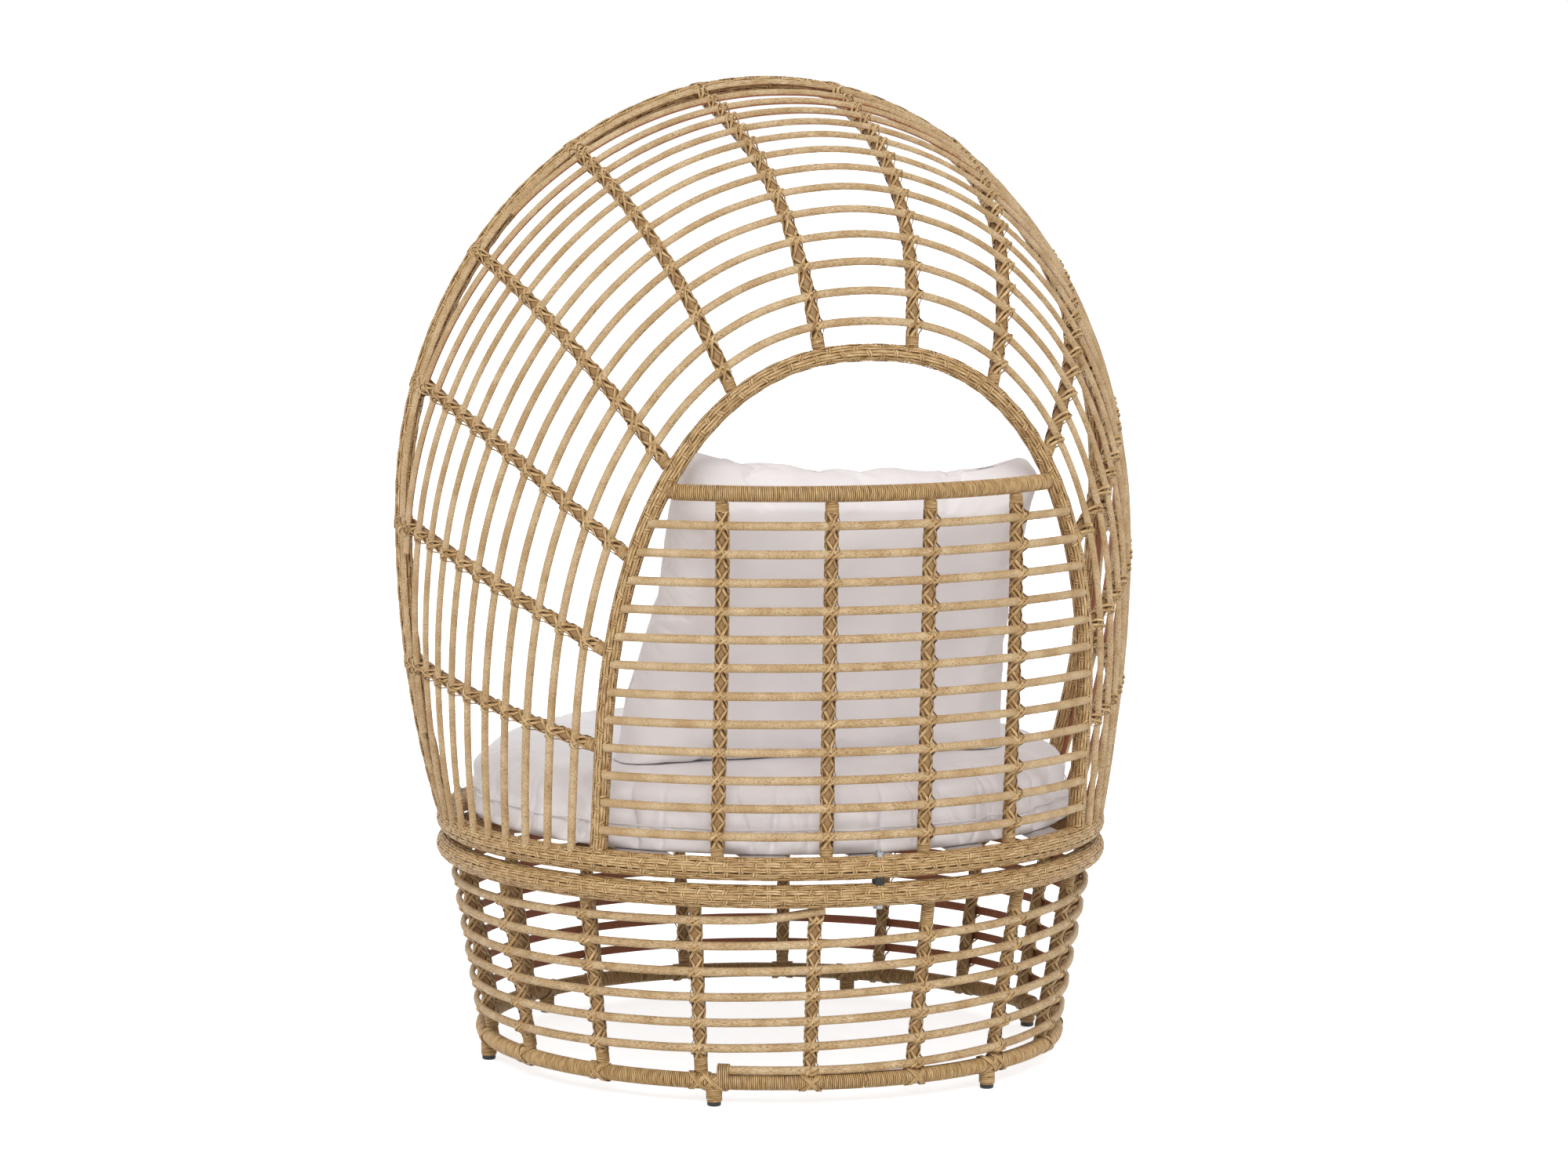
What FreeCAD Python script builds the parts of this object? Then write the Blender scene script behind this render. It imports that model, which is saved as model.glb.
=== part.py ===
"""Free-standing egg chair: a cane hood on a seat ring, bolted to an open cane base on six feet.

Millimetres, +Z up, the floor at z = 0 and the origin on the floor under the middle of the seat ring.
The open front of the hood faces -Y, its back panel faces +Y, and +X is the sitter's left.
Every steel tube is hollow and carries a woven or wrapped sleeve; the canes are half round, flat side in.
"""
import FreeCAD
import Part
import math
import os

V = FreeCAD.Vector
UP = V(0, 0, 1)

# ---- fits -------------------------------------------------------------------------------------
SLEEVE_GAP = 0.1          # between a steel tube and the sleeve woven round it
SEAT_GAP = 0.1            # between two pieces that rest on each other
WELD_GAP = 0.1            # between a tube's coped end and the tube it is welded to
BIND_GAP = 1.0            # room for the flat strips that bind a cane to its tube
SOFT_GAP = 0.4            # between a cushion and whatever it lies on
SEAM_GAP = 1.0            # where the two ends of a ring's sleeve meet

# ---- rings ------------------------------------------------------------------------------------
RING_RADIUS = 480.0       # centre line of the hood's seat ring and of the base's top ring
RING_TUBE = 25.0          # outside diameter of their steel tube
RING_WEAVE = 2.5          # thickness of the weave on it
TUBE_WALL = 1.5           # wall of every 20 mm and 25 mm tube
BASE_RING_Z = 312.0       # height of the base's top ring
RING_SPACING = 9.0        # open gap between the two woven rings, held by the spacers
FLOOR_RING_INSET = 53.0   # the floor ring is this much smaller in radius than the top ring
FLOOR_RING_Z = 35.0
FLOOR_TUBE = 20.0
FLOOR_WRAP = 2.0          # thickness of the strip coiled round the floor ring
DRAIN_HOLE = 5.0          # drilled up into each closed ring of tube

# ---- hood outline -----------------------------------------------------------------------------
HOOP_TUBE = 20.0          # tube of the front hoop and of the back arch
HOOP_WEAVE = 2.3
HOOP_OVERHANG = 64.0      # how far the hoop's belly stands out beyond the ring on each side
HOOP_BELLY = 479.0        # height of the belly above the seat ring
HOOP_RISE = 603.0         # from the belly up to the crown
HOOP_FOOT_SHARE = -0.19375   # where the hoop stands on the seat ring: its y as a share of the radius
HOOP_LEAN = 0.045         # backward lean, as a slope
ARCH_FOOT_SHARE = 0.65625   # where the back arch stands on the seat ring: its y as a share of the radius
ARCH_LEAN = 0.14
ARCH_SPRING = 155.0       # height above the seat ring at which the arch's straight legs start to curve
ARCH_RISE = 566.0         # from there to its crown
ARCH_FULLNESS = 2.3       # exponent of the arch's curve; 2 is an ellipse, more is squarer
CROWN_BULGE = 272.0       # how far the ribs' control point stands off the arch at the crown
CROWN_SHIFT = 0.04        # and how far it is toward the hoop there, as a share
SHIFT_POWER = 0.8

# ---- ribs and canes ---------------------------------------------------------------------------
RIB_TUBE = 16.0           # ribs and posts are the same thin tube
RIB_WALL = 1.2
RIB_PITCH = 207.7         # spacing of the ribs along the front hoop, counted from its crown
RIB_PAIRS = 6
RIB_INSET = 5.0           # the ribs' centre lines lie this far inside the hood surface
CANE_WIDTH = 12.0
CANE_THICKNESS = 7.5
HOOD_CANE_PITCH = 42.7    # spacing of the hood canes along a rib, counted from the arch
HOOD_CANES = 14           # the last of them lies snug against the front hoop

# ---- back panel -------------------------------------------------------------------------------
PANEL_LEAN = 0.03         # backward lean of the panel's middle, as a slope
PANEL_OFFSET = 8.0        # the panel meets the arch this far behind the arch's centre line
PANEL_FIRST = 46.0        # height of the lowest panel cane above the seat ring
PANEL_PITCH = 40.0
PANEL_CANES = 12
RAIL_ABOVE = 44.0         # the top rail's height above the highest cane
RAIL_TUBE = 20.0
RAIL_WRAP = 2.0
BACK_POSTS = 4
BACK_POST_PITCH = 146.0

# ---- base -------------------------------------------------------------------------------------
BASE_POSTS = 17
BASE_POST_INSET = 14.0    # the posts' upper ends meet the top ring this far inside its centre line
BASE_POST_FOOT_INSET = 9.0   # and their feet the floor ring
BASE_CANE_START = 26.0    # degrees from the back toward +X at which the long cane leaves the floor ring
BASE_CANE_TURNS = 6
BASE_CANE_EXTRA = 17.0    # degrees past the last full turn
RUNS_PER_TURN = 34
BASE_CANE_DROP = 8.0      # the steady climb ends this far below the top ring; the last run makes it up
BASE_CANE_SWAY = 8.0      # the turns run this much high on one side and low on the other
BASE_CANE_HIGH_SIDE = -110.0   # where they run highest, degrees from the back
LEG_TUBE = 20.0
LEG_WALL = 1.5
LEG_ANGLES = (29.0, 94.4, 145.0)   # degrees from the back, on both sides
GLIDE_HEIGHT = 6.0
GLIDE_PLUG = 12.0         # length of the plug that holds the glide in its leg
BOLTS = 3
BOLT_DIAMETER = 8.0
BOLT_HEAD_HEIGHT = 5.0
NUT_WIDTH = 13.0
NUT_HEIGHT = 6.5
SPACER_DIAMETER = 18.0

# ---- seat -------------------------------------------------------------------------------------
SEAT_BARS = 3
SEAT_BAR_PITCH = 220.0
SEAT_BAR_TUBE = 20.0
STRAPS = 5
STRAP_WIDTH = 60.0
STRAP_PITCH = 150.0
STRAP_THICKNESS = 2.5
SEAT_CUSHION_MARGIN = 28.0   # the cushion is this much smaller in radius than the ring's centre line
SEAT_CUSHION_THICKNESS = 106.0
SEAT_CUSHION_EDGE = 38.0
BACK_CUSHION_WIDTH = 590.0
BACK_CUSHION_HEIGHT = 464.0
BACK_CUSHION_THICKNESS = 135.0
BACK_CUSHION_EDGE = 55.0
BACK_CUSHION_LEAN = 20.0  # degrees back from upright
BACK_CUSHION_SETBACK = 315.0   # its foot stands this far in front of the ring's back

# ---- derived ----------------------------------------------------------------------------------
FLOOR_RING_RADIUS = RING_RADIUS - FLOOR_RING_INSET
HOOP_HALF_WIDTH = RING_RADIUS + HOOP_OVERHANG
HOOP_FOOT_Y = RING_RADIUS * HOOP_FOOT_SHARE
ARCH_FOOT_Y = RING_RADIUS * ARCH_FOOT_SHARE
SEAT_CUSHION_RADIUS = RING_RADIUS - SEAT_CUSHION_MARGIN
BACK_CUSHION_FOOT_Y = RING_RADIUS - BACK_CUSHION_SETBACK
RING_OUTER = RING_TUBE / 2 + SLEEVE_GAP + RING_WEAVE
HOOP_OUTER = HOOP_TUBE / 2 + SLEEVE_GAP + HOOP_WEAVE
FLOOR_OUTER = FLOOR_TUBE / 2 + SLEEVE_GAP + FLOOR_WRAP
RAIL_OUTER = RAIL_TUBE / 2 + SLEEVE_GAP + RAIL_WRAP
HOOD_RING_Z = BASE_RING_Z + 2 * RING_OUTER + RING_SPACING
RIB_RADIUS = RIB_TUBE / 2
CANE_LIFT = RIB_RADIUS - RIB_INSET + BIND_GAP
BASE_POST_TOP = RING_RADIUS - BASE_POST_INSET
BASE_POST_FOOT = FLOOR_RING_RADIUS - BASE_POST_FOOT_INSET
OUTLINE_STEPS = 240       # points on half a bent tube's centre line
RIB_STEPS = 40            # points on one line of the hood surface
SHARE_STEP = 0.004        # share of an outline over which its direction is taken
SURFACE_STEP = 3.0        # and the distance along a line of the hood surface
COPE_REACH = 40.0         # half length of the straight cutters that cope one tube on another
NO_TURN = 0.001           # radians: a path bends less than this where it counts as straight
ARC_REACH = 0.45          # share of the shorter run that an arc takes up at a corner
CORNER_STANDOUT = 0.119   # how far a smooth path's corner stands out, as a share of run times turn


def export(node, shape):
    shape.exportStep("parts/" + node + ".step")


def biggest(shape):
    return max(shape.Solids, key=lambda solid: solid.Volume)


def bent_path(points):
    """Straight runs through the points, joined by arcs that are tangent to both runs."""
    edges = []
    last = points[0]
    for before, corner, after in zip(points, points[1:], points[2:]):
        back = before - corner
        on = after - corner
        turn = math.pi - back.getAngle(on)
        if turn < NO_TURN:
            continue
        reach = ARC_REACH * min(back.Length, on.Length)
        back.normalize()
        on.normalize()
        middle = back + on
        middle.normalize()
        start = corner + back * reach
        end = corner + on * reach
        edges.append(Part.LineSegment(last, start).toShape())
        edges.append(Part.Arc(start, corner + middle * reach * math.tan(turn / 4), end).toShape())
        last = end
    edges.append(Part.LineSegment(last, points[-1]).toShape())
    return Part.Wire(edges)


def smooth_path(points):
    """A bent path that runs along the curve through the points: the corners stand out a little,
    because runs and arcs both pass inside them by nearly the same amount."""
    corners = [points[0]]
    for before, corner, after in zip(points, points[1:], points[2:]):
        back = before - corner
        on = after - corner
        turn = math.pi - back.getAngle(on)
        room = min(back.Length, on.Length)
        back.normalize()
        on.normalize()
        middle = back + on
        if turn > NO_TURN:
            middle.normalize()
            corner = corner - middle * (room * turn * CORNER_STANDOUT)
        corners.append(corner)
    corners.append(points[-1])
    return bent_path(corners)


def path_start(path):
    """First point of a path and its direction there."""
    edge = path.OrderedEdges[0]
    start = path.OrderedVertexes[0].Point
    first = edge.valueAt(edge.FirstParameter)
    if first.distanceToPoint(start) < 1e-6:
        return start, edge.tangentAt(edge.FirstParameter)
    return start, edge.tangentAt(edge.LastParameter) * -1


def rod(path, radius):
    start, along = path_start(path)
    profile = Part.Wire(Part.Circle(start, along, radius).toShape())
    return path.makePipeShell([profile], True, False)


def washer(centre, axis, outer, inner):
    """The flat ring between two circles."""
    outside = Part.Face(Part.Wire(Part.Circle(centre, axis, outer).toShape()))
    return outside.cut(Part.Face(Part.Wire(Part.Circle(centre, axis, inner).toShape()))).Faces[0]


def tube(path, outer, inner):
    """A hollow tube, swept along the path."""
    start, along = path_start(path)
    return path.makePipe(washer(start, along, outer, inner))


def half_round(path, outward):
    """A cane: flat face along the path, rounded face toward the outward direction at its start."""
    start, along = path_start(path)
    side = along.cross(outward)
    side.normalize()
    out = side.cross(along)
    out.normalize()
    low = start - side * (CANE_WIDTH / 2)
    high = start + side * (CANE_WIDTH / 2)
    dome = Part.Arc(low, start + out * CANE_THICKNESS, high).toShape()
    flat = Part.LineSegment(high, low).toShape()
    return path.makePipeShell([Part.Wire([dome, flat])], True, False)


def stretch(low, high, radius):
    """A straight cutter in place of a bent tube, along the stretch between two of its points."""
    along = high - low
    along.normalize()
    middle = (low + high) * 0.5
    return Part.makeCylinder(radius, 2 * COPE_REACH, middle - along * COPE_REACH, along)


def torus(radius, z, section):
    return Part.makeTorus(radius, section, V(0, 0, z))


def ring_tube(radius, z, outer_radius):
    """A closed ring of tube with drain holes drilled up into it."""
    solid = torus(radius, z, outer_radius).cut(torus(radius, z, outer_radius - TUBE_WALL))
    drill = Part.makeCylinder(DRAIN_HOLE / 2, outer_radius, V(0, -radius, z - outer_radius - 1))
    return solid.cut(drill)


def ring_sleeve(radius, z, outer_radius, inner_radius):
    """The sleeve on a ring: it starts and ends at a seam at the front."""
    turn = 360 - math.degrees(SEAM_GAP / radius)
    section = washer(V(0, -radius, z), V(1, 0, 0), outer_radius, inner_radius)
    return section.revolve(V(0, 0, 0), UP, turn)


# ---- hood surface -----------------------------------------------------------------------------

class Outline:
    """Half of a bent tube's centre line, from its crown to its foot, read by its share of the length."""

    def __init__(self, points):
        self.points = points
        self.marks = [0.0]
        for a, b in zip(points, points[1:]):
            self.marks.append(self.marks[-1] + a.distanceToPoint(b))
        self.length = self.marks[-1]

    def at(self, share):
        target = share * self.length
        i = 1
        while i < len(self.marks) - 1 and self.marks[i] < target:
            i += 1
        span = self.marks[i] - self.marks[i - 1]
        blend = (target - self.marks[i - 1]) / span
        return self.points[i - 1] + (self.points[i] - self.points[i - 1]) * blend


def ring_x(y):
    return math.sqrt(RING_RADIUS ** 2 - y ** 2)


def mirrored(p, side):
    return V(side * p.x, p.y, p.z)


def hoop_outline():
    """Two half ellipses that meet at the belly; the lower one ends on the seat ring."""
    foot_x = ring_x(HOOP_FOOT_Y)
    lower = HOOP_BELLY / math.sqrt(1 - (foot_x / HOOP_HALF_WIDTH) ** 2)
    end = math.pi / 2 + math.asin(HOOP_BELLY / lower)
    points = []
    for i in range(OUTLINE_STEPS + 1):
        angle = end * i / OUTLINE_STEPS
        reach = HOOP_RISE if angle < math.pi / 2 else lower
        x = HOOP_HALF_WIDTH * math.sin(angle)
        rise = HOOP_BELLY + reach * math.cos(angle)
        points.append(V(x, HOOP_FOOT_Y + HOOP_LEAN * rise, HOOD_RING_Z + rise))
    return Outline(points)


def arch_half_width(rise):
    """Half the arch's width at a height above the seat ring."""
    half = ring_x(ARCH_FOOT_Y)
    if rise <= ARCH_SPRING:
        return half
    share = min(1.0, (rise - ARCH_SPRING) / ARCH_RISE)
    return half * (1 - share ** ARCH_FULLNESS) ** (1 / ARCH_FULLNESS)


def arch_point(x, rise):
    return V(x, ARCH_FOOT_Y + ARCH_LEAN * rise, HOOD_RING_Z + rise)


def arch_outline():
    points = []
    for i in range(OUTLINE_STEPS):
        rise = ARCH_SPRING + ARCH_RISE * math.cos(math.pi / 2 * i / OUTLINE_STEPS)
        points.append(arch_point(arch_half_width(rise), rise))
    points.append(arch_point(arch_half_width(0), ARCH_SPRING))
    points.append(arch_point(arch_half_width(0), 0))
    return Outline(points)


HOOP = hoop_outline()
ARCH = arch_outline()


def foot_control():
    """Where the ring's tangents at the arch's foot and the hoop's foot cross."""
    a = ARCH.at(1)
    b = HOOP.at(1)
    middle = V(a.x + b.x, a.y + b.y, 0)
    middle.normalize()
    half = V(a.x, a.y, 0).getAngle(middle)
    return middle * (RING_RADIUS / math.cos(half)) + V(0, 0, a.z)


def foot_shift_and_bulge():
    a = ARCH.at(1)
    b = HOOP.at(1)
    control = foot_control()
    shift = (control.y - a.y) / (b.y - a.y)
    return shift, control.x - a.x - shift * (b.x - a.x)


FOOT_SHIFT, FOOT_BULGE = foot_shift_and_bulge()


def rib_line(share, side):
    """The hood surface from arch to hoop, at a share of the way from crown to foot."""
    a = ARCH.at(share)
    b = HOOP.at(share)
    shift = CROWN_SHIFT + (FOOT_SHIFT - CROWN_SHIFT) * share ** SHIFT_POWER
    bulge = FOOT_BULGE + (CROWN_BULGE - FOOT_BULGE) * (1 - share) ** 2
    tilt = math.pi / 2 * share
    control = a + (b - a) * shift + V(math.sin(tilt), 0, math.cos(tilt)) * bulge
    points = []
    for i in range(RIB_STEPS + 1):
        s = i / RIB_STEPS
        p = a * (1 - s) ** 2 + control * (2 * s * (1 - s)) + b * s ** 2
        points.append(V(side * p.x, p.y, p.z))
    return Outline(points)


class Hood:
    """The hood surface, read by a signed share round the hoop and a distance from the arch."""

    def __init__(self):
        self.lines = {}

    def line(self, share):
        key = round(share, 6)
        if key not in self.lines:
            self.lines[key] = rib_line(abs(share), -1 if share < 0 else 1)
        return self.lines[key]

    def point(self, share, distance):
        line = self.line(share)
        return line.at(distance / line.length)

    def normal(self, share, distance):
        low = max(-1.0, share - SHARE_STEP)
        high = min(1.0, share + SHARE_STEP)
        across = self.point(high, distance) - self.point(low, distance)
        along = self.point(share, distance + SURFACE_STEP) - self.point(share, distance - SURFACE_STEP)
        out = along.cross(across)
        out.normalize()
        away = self.point(share, distance) - V(0, 0, HOOD_RING_Z)
        return out if out.dot(away) > 0 else out * -1


HOOD = Hood()


def rib_share(pair):
    return (pair + 0.5) * RIB_PITCH / HOOP.length


def rib_path(pair, side):
    share = side * rib_share(pair)
    line = HOOD.line(share)
    points = []
    stations = 9
    for i in range(stations + 1):
        distance = line.length * i / stations
        inside = min(max(distance, SURFACE_STEP), line.length - SURFACE_STEP)
        points.append(HOOD.point(share, distance) - HOOD.normal(share, inside) * RIB_INSET)
    return smooth_path(points)


def outline_stretch(outline, share, side, radius):
    low = outline.at(share - SHARE_STEP)
    high = outline.at(share + SHARE_STEP)
    return stretch(mirrored(low, side), mirrored(high, side), radius)


def cane_distance(number, share):
    """How far a hood cane lies from the arch: evenly spaced, but the last one follows the hoop."""
    if number < HOOD_CANES:
        return number * HOOD_CANE_PITCH
    return HOOD.line(share).length - HOOP_OUTER - CANE_WIDTH / 2 - SEAT_GAP


def cane_end(number):
    """The share at which a cane ends: at the ring, or beside the snug cane where the hood narrows."""
    if number == HOOD_CANES:
        return 1.0
    steps = 200
    for i in range(steps + 1):
        share = i / steps
        room = cane_distance(HOOD_CANES, share) - cane_distance(number, share)
        if room < CANE_WIDTH + SEAT_GAP:
            return (i - 1) / steps
    return 1.0


def hood_cane(number):
    end = cane_end(number)
    stations = 26
    points = []
    normals = []
    for i in range(stations + 1):
        share = end * (2 * i / stations - 1)
        distance = cane_distance(number, share)
        normals.append(HOOD.normal(share, distance))
        points.append(HOOD.point(share, distance) + normals[-1] * CANE_LIFT)
    return half_round(smooth_path(points), normals[0])


# ---- back panel -------------------------------------------------------------------------------

def panel_end(rise):
    return arch_point(arch_half_width(rise), rise) + V(0, PANEL_OFFSET, 0)


def panel_arc(rise, depth):
    """One level of the back panel, bowed from leg to leg; depth moves it outward."""
    end = panel_end(rise)
    middle_y = RING_RADIUS + PANEL_LEAN * rise
    radius = (end.x ** 2 + (middle_y - end.y) ** 2) / (2 * (middle_y - end.y))
    centre = V(0, middle_y - radius, end.z)
    out_end = end - centre
    out_end.normalize()
    right = centre + out_end * (radius + depth)
    return Part.Arc(right, centre + V(0, radius + depth, 0), V(-right.x, right.y, right.z)), centre, radius


def panel_y(x, rise, depth):
    arc, centre, radius = panel_arc(rise, 0)
    return centre.y + math.sqrt((radius + depth) ** 2 - x ** 2)


def rail_rise():
    return PANEL_FIRST + PANEL_PITCH * (PANEL_CANES - 1) + RAIL_ABOVE


def rail_path():
    arc, centre, radius = panel_arc(rail_rise(), -RIB_RADIUS)
    return Part.Wire([arc.toShape()])


def arch_stretch(rise, side, radius):
    step = 5.0
    low = arch_point(arch_half_width(rise - step), rise - step)
    high = arch_point(arch_half_width(rise + step), rise + step)
    return stretch(mirrored(low, side), mirrored(high, side), radius)


def panel_cane(number):
    rise = PANEL_FIRST + number * PANEL_PITCH
    arc, centre, radius = panel_arc(rise, 0)
    path = Part.Wire([arc.toShape()])
    row = half_round(path, path_start(path)[0] - centre)
    return row.cut([arch_stretch(rise, side, HOOP_OUTER + SEAT_GAP) for side in (1, -1)])


def back_post_x(number):
    return (number - (BACK_POSTS - 1) / 2) * BACK_POST_PITCH


def back_post_path(number):
    x = back_post_x(number)
    points = []
    stations = 4
    for i in range(stations + 1):
        rise = rail_rise() * i / stations
        y = panel_y(x, rise, -RIB_RADIUS - BIND_GAP)
        points.append(V(x, y, HOOD_RING_Z + rise))
    return bent_path(points)


# ---- base -------------------------------------------------------------------------------------

def around(radius, degrees, z):
    """A point at an angle from the back (+Y) toward +X."""
    angle = math.radians(degrees)
    return V(radius * math.sin(angle), radius * math.cos(angle), z)


def base_post_angle(number):
    return (number + 0.5) * 360 / BASE_POSTS


def base_post_radius(z):
    share = (z - FLOOR_RING_Z) / (BASE_RING_Z - FLOOR_RING_Z)
    return BASE_POST_FOOT + (BASE_POST_TOP - BASE_POST_FOOT) * share


def base_post_path(number):
    angle = base_post_angle(number)
    low = around(BASE_POST_FOOT, angle, FLOOR_RING_Z)
    high = around(BASE_POST_TOP, angle, BASE_RING_Z)
    return Part.Wire([Part.LineSegment(low, high).toShape()])


def base_cane_level(angle, share):
    """The long cane's height: a steady climb with a sway, kept between the two rings."""
    low = FLOOR_RING_Z + FLOOR_OUTER + CANE_WIDTH / 2 + SEAT_GAP
    high = BASE_RING_Z - RING_OUTER - CANE_WIDTH / 2 - SEAT_GAP
    sway = BASE_CANE_SWAY * math.cos(math.radians(angle - BASE_CANE_HIGH_SIDE))
    climb = low + (high - BASE_CANE_DROP - low) * share + sway
    return high if share == 1 else min(max(climb, low), high)


def base_cane_points():
    """The long cane climbs from the floor ring to the top ring round the outside of the posts."""
    sweep = BASE_CANE_TURNS * 360 + BASE_CANE_EXTRA
    runs = round(RUNS_PER_TURN * sweep / 360)
    slope = math.atan2(BASE_POST_TOP - BASE_POST_FOOT, BASE_RING_Z - FLOOR_RING_Z)
    corner = math.cos(math.pi * sweep / 360 / runs)
    points = []
    for i in range(runs + 1):
        angle = BASE_CANE_START - sweep * i / runs
        z = base_cane_level(angle, i / runs)
        radius = base_post_radius(z) + (RIB_RADIUS + BIND_GAP) / math.cos(slope)
        points.append(around(radius / corner, angle, z))
    return points


def base_cane_turns():
    """The long cane in lengths of one turn, each cut square in the middle of a straight run."""
    points = base_cane_points()
    turns = []
    for turn in range(BASE_CANE_TURNS):
        first = turn * RUNS_PER_TURN
        last = first + RUNS_PER_TURN if turn < BASE_CANE_TURNS - 1 else len(points) - 1
        chain = points[first:last + 1]
        if turn > 0:
            chain[0] = (points[first] + points[first - 1]) * 0.5
            chain.insert(1, points[first])
        if turn < BASE_CANE_TURNS - 1:
            chain[-1] = (points[last] + points[last - 1]) * 0.5
        outward = V(chain[0].x, chain[0].y, 0)
        turns.append(half_round(bent_path(chain), outward))
    return turns


def leg_angles():
    return [side * angle for angle in LEG_ANGLES for side in (1, -1)]


def leg(angle):
    """A stub of tube from the floor ring down to its glide."""
    foot = around(FLOOR_RING_RADIUS, angle, GLIDE_HEIGHT)
    height = FLOOR_RING_Z - GLIDE_HEIGHT
    outside = Part.makeCylinder(LEG_TUBE / 2, height, foot)
    return outside.cut(Part.makeCylinder(LEG_TUBE / 2 - LEG_WALL, height, foot))


def glide(angle):
    """A moulded cap with a rounded rim, held by a plug inside the leg."""
    foot = around(FLOOR_RING_RADIUS, angle, 0)
    cap = Part.makeCylinder(LEG_TUBE / 2, GLIDE_HEIGHT, foot)
    rim = [edge for edge in cap.Edges if edge.Closed and edge.BoundBox.ZMax < 0.01]
    cap = cap.makeFillet(GLIDE_HEIGHT / 3, rim)
    plug_radius = LEG_TUBE / 2 - LEG_WALL - SLEEVE_GAP
    return cap.fuse(Part.makeCylinder(plug_radius, GLIDE_HEIGHT + GLIDE_PLUG, foot)).removeSplitter()


def bolt_place(number, z):
    return around(RING_RADIUS, 360 * number / BOLTS, z)


def nut_z():
    return HOOD_RING_Z + RING_OUTER


def hexagon(width, height, place):
    corner = width / math.sqrt(3)
    points = [place + V(corner * math.cos(math.pi / 3 * i), corner * math.sin(math.pi / 3 * i), 0)
              for i in range(6)]
    face = Part.Face(Part.makePolygon(points + points[:1]))
    return face.extrude(UP * height)


def bolt(number):
    low = BASE_RING_Z - RING_OUTER
    head = hexagon(NUT_WIDTH, BOLT_HEAD_HEIGHT, bolt_place(number, low - BOLT_HEAD_HEIGHT))
    length = nut_z() + NUT_HEIGHT + 2 - low
    shank = Part.makeCylinder(BOLT_DIAMETER / 2, length, bolt_place(number, low))
    return head.fuse(shank).removeSplitter()


def nut(number):
    blank = hexagon(NUT_WIDTH, NUT_HEIGHT, bolt_place(number, nut_z()))
    return blank.cut(Part.makeCylinder(BOLT_DIAMETER / 2, NUT_HEIGHT, bolt_place(number, nut_z())))


def spacer(number):
    """A collar between the two rings, hollowed above and below to sit on their round backs."""
    low = bolt_place(number, BASE_RING_Z)
    height = HOOD_RING_Z - BASE_RING_Z
    collar = Part.makeCylinder(SPACER_DIAMETER / 2, height, low)
    collar = collar.cut(Part.makeCylinder(BOLT_DIAMETER / 2 + SLEEVE_GAP, height, low))
    collar = collar.cut(torus(RING_RADIUS, BASE_RING_Z, RING_OUTER))
    return biggest(collar.cut(torus(RING_RADIUS, HOOD_RING_Z, RING_OUTER)))


def bolt_holes(z):
    holes = []
    for number in range(BOLTS):
        place = bolt_place(number, z - RING_OUTER - 1)
        holes.append(Part.makeCylinder(BOLT_DIAMETER / 2 + SLEEVE_GAP, 2 * RING_OUTER + 2, place))
    return holes


# ---- seat -------------------------------------------------------------------------------------

def seat_bar_y(number):
    return (number - (SEAT_BARS - 1) / 2) * SEAT_BAR_PITCH


def seat_bar_path(number):
    y = seat_bar_y(number)
    x = ring_x(y)
    return Part.Wire([Part.LineSegment(V(-x, y, HOOD_RING_Z), V(x, y, HOOD_RING_Z)).toShape()])


def strap_bottom():
    return HOOD_RING_Z + SEAT_BAR_TUBE / 2 + SEAT_GAP


def strap(number):
    """A flat elastic strap laid front to back over the bars, from ring to ring."""
    x = (number - (STRAPS - 1) / 2) * STRAP_PITCH
    blank = Part.makeBox(STRAP_WIDTH, 2 * RING_RADIUS, STRAP_THICKNESS,
                         V(x - STRAP_WIDTH / 2, -RING_RADIUS, strap_bottom()))
    inside = Part.makeCylinder(RING_RADIUS, STRAP_THICKNESS, V(0, 0, strap_bottom()))
    return biggest(blank.common(inside).cut(torus(RING_RADIUS, HOOD_RING_Z, RING_OUTER)))


def seat_cushion_bottom():
    return strap_bottom() + STRAP_THICKNESS + SOFT_GAP


def seat_cushion():
    """A thick round pad that lies on the straps, with soft edges."""
    pad = Part.makeCylinder(SEAT_CUSHION_RADIUS, SEAT_CUSHION_THICKNESS, V(0, 0, seat_cushion_bottom()))
    rims = [edge for edge in pad.Edges if isinstance(edge.Curve, Part.Circle)]
    return pad.makeFillet(SEAT_CUSHION_EDGE, rims)


def back_cushion():
    """A square pillow that stands on the seat cushion and leans on the back panel."""
    pad = Part.makeBox(BACK_CUSHION_WIDTH, BACK_CUSHION_THICKNESS, BACK_CUSHION_HEIGHT,
                       V(-BACK_CUSHION_WIDTH / 2, -BACK_CUSHION_THICKNESS / 2, 0))
    pad = pad.makeFillet(BACK_CUSHION_EDGE, pad.Edges)
    pad.rotate(V(0, 0, 0), V(1, 0, 0), -BACK_CUSHION_LEAN)
    low = pad.optimalBoundingBox().ZMin
    top = seat_cushion_bottom() + SEAT_CUSHION_THICKNESS + SOFT_GAP
    pad.translate(V(0, BACK_CUSHION_FOOT_Y, top - low))
    return pad


# ---- assembly ---------------------------------------------------------------------------------

def stub(place, direction, radius, length=40.0):
    """A cutter that opens a sleeve where a tube passes through it, from the sleeve's centre outward."""
    return Part.makeCylinder(radius + SLEEVE_GAP, length, place, direction)


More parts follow.
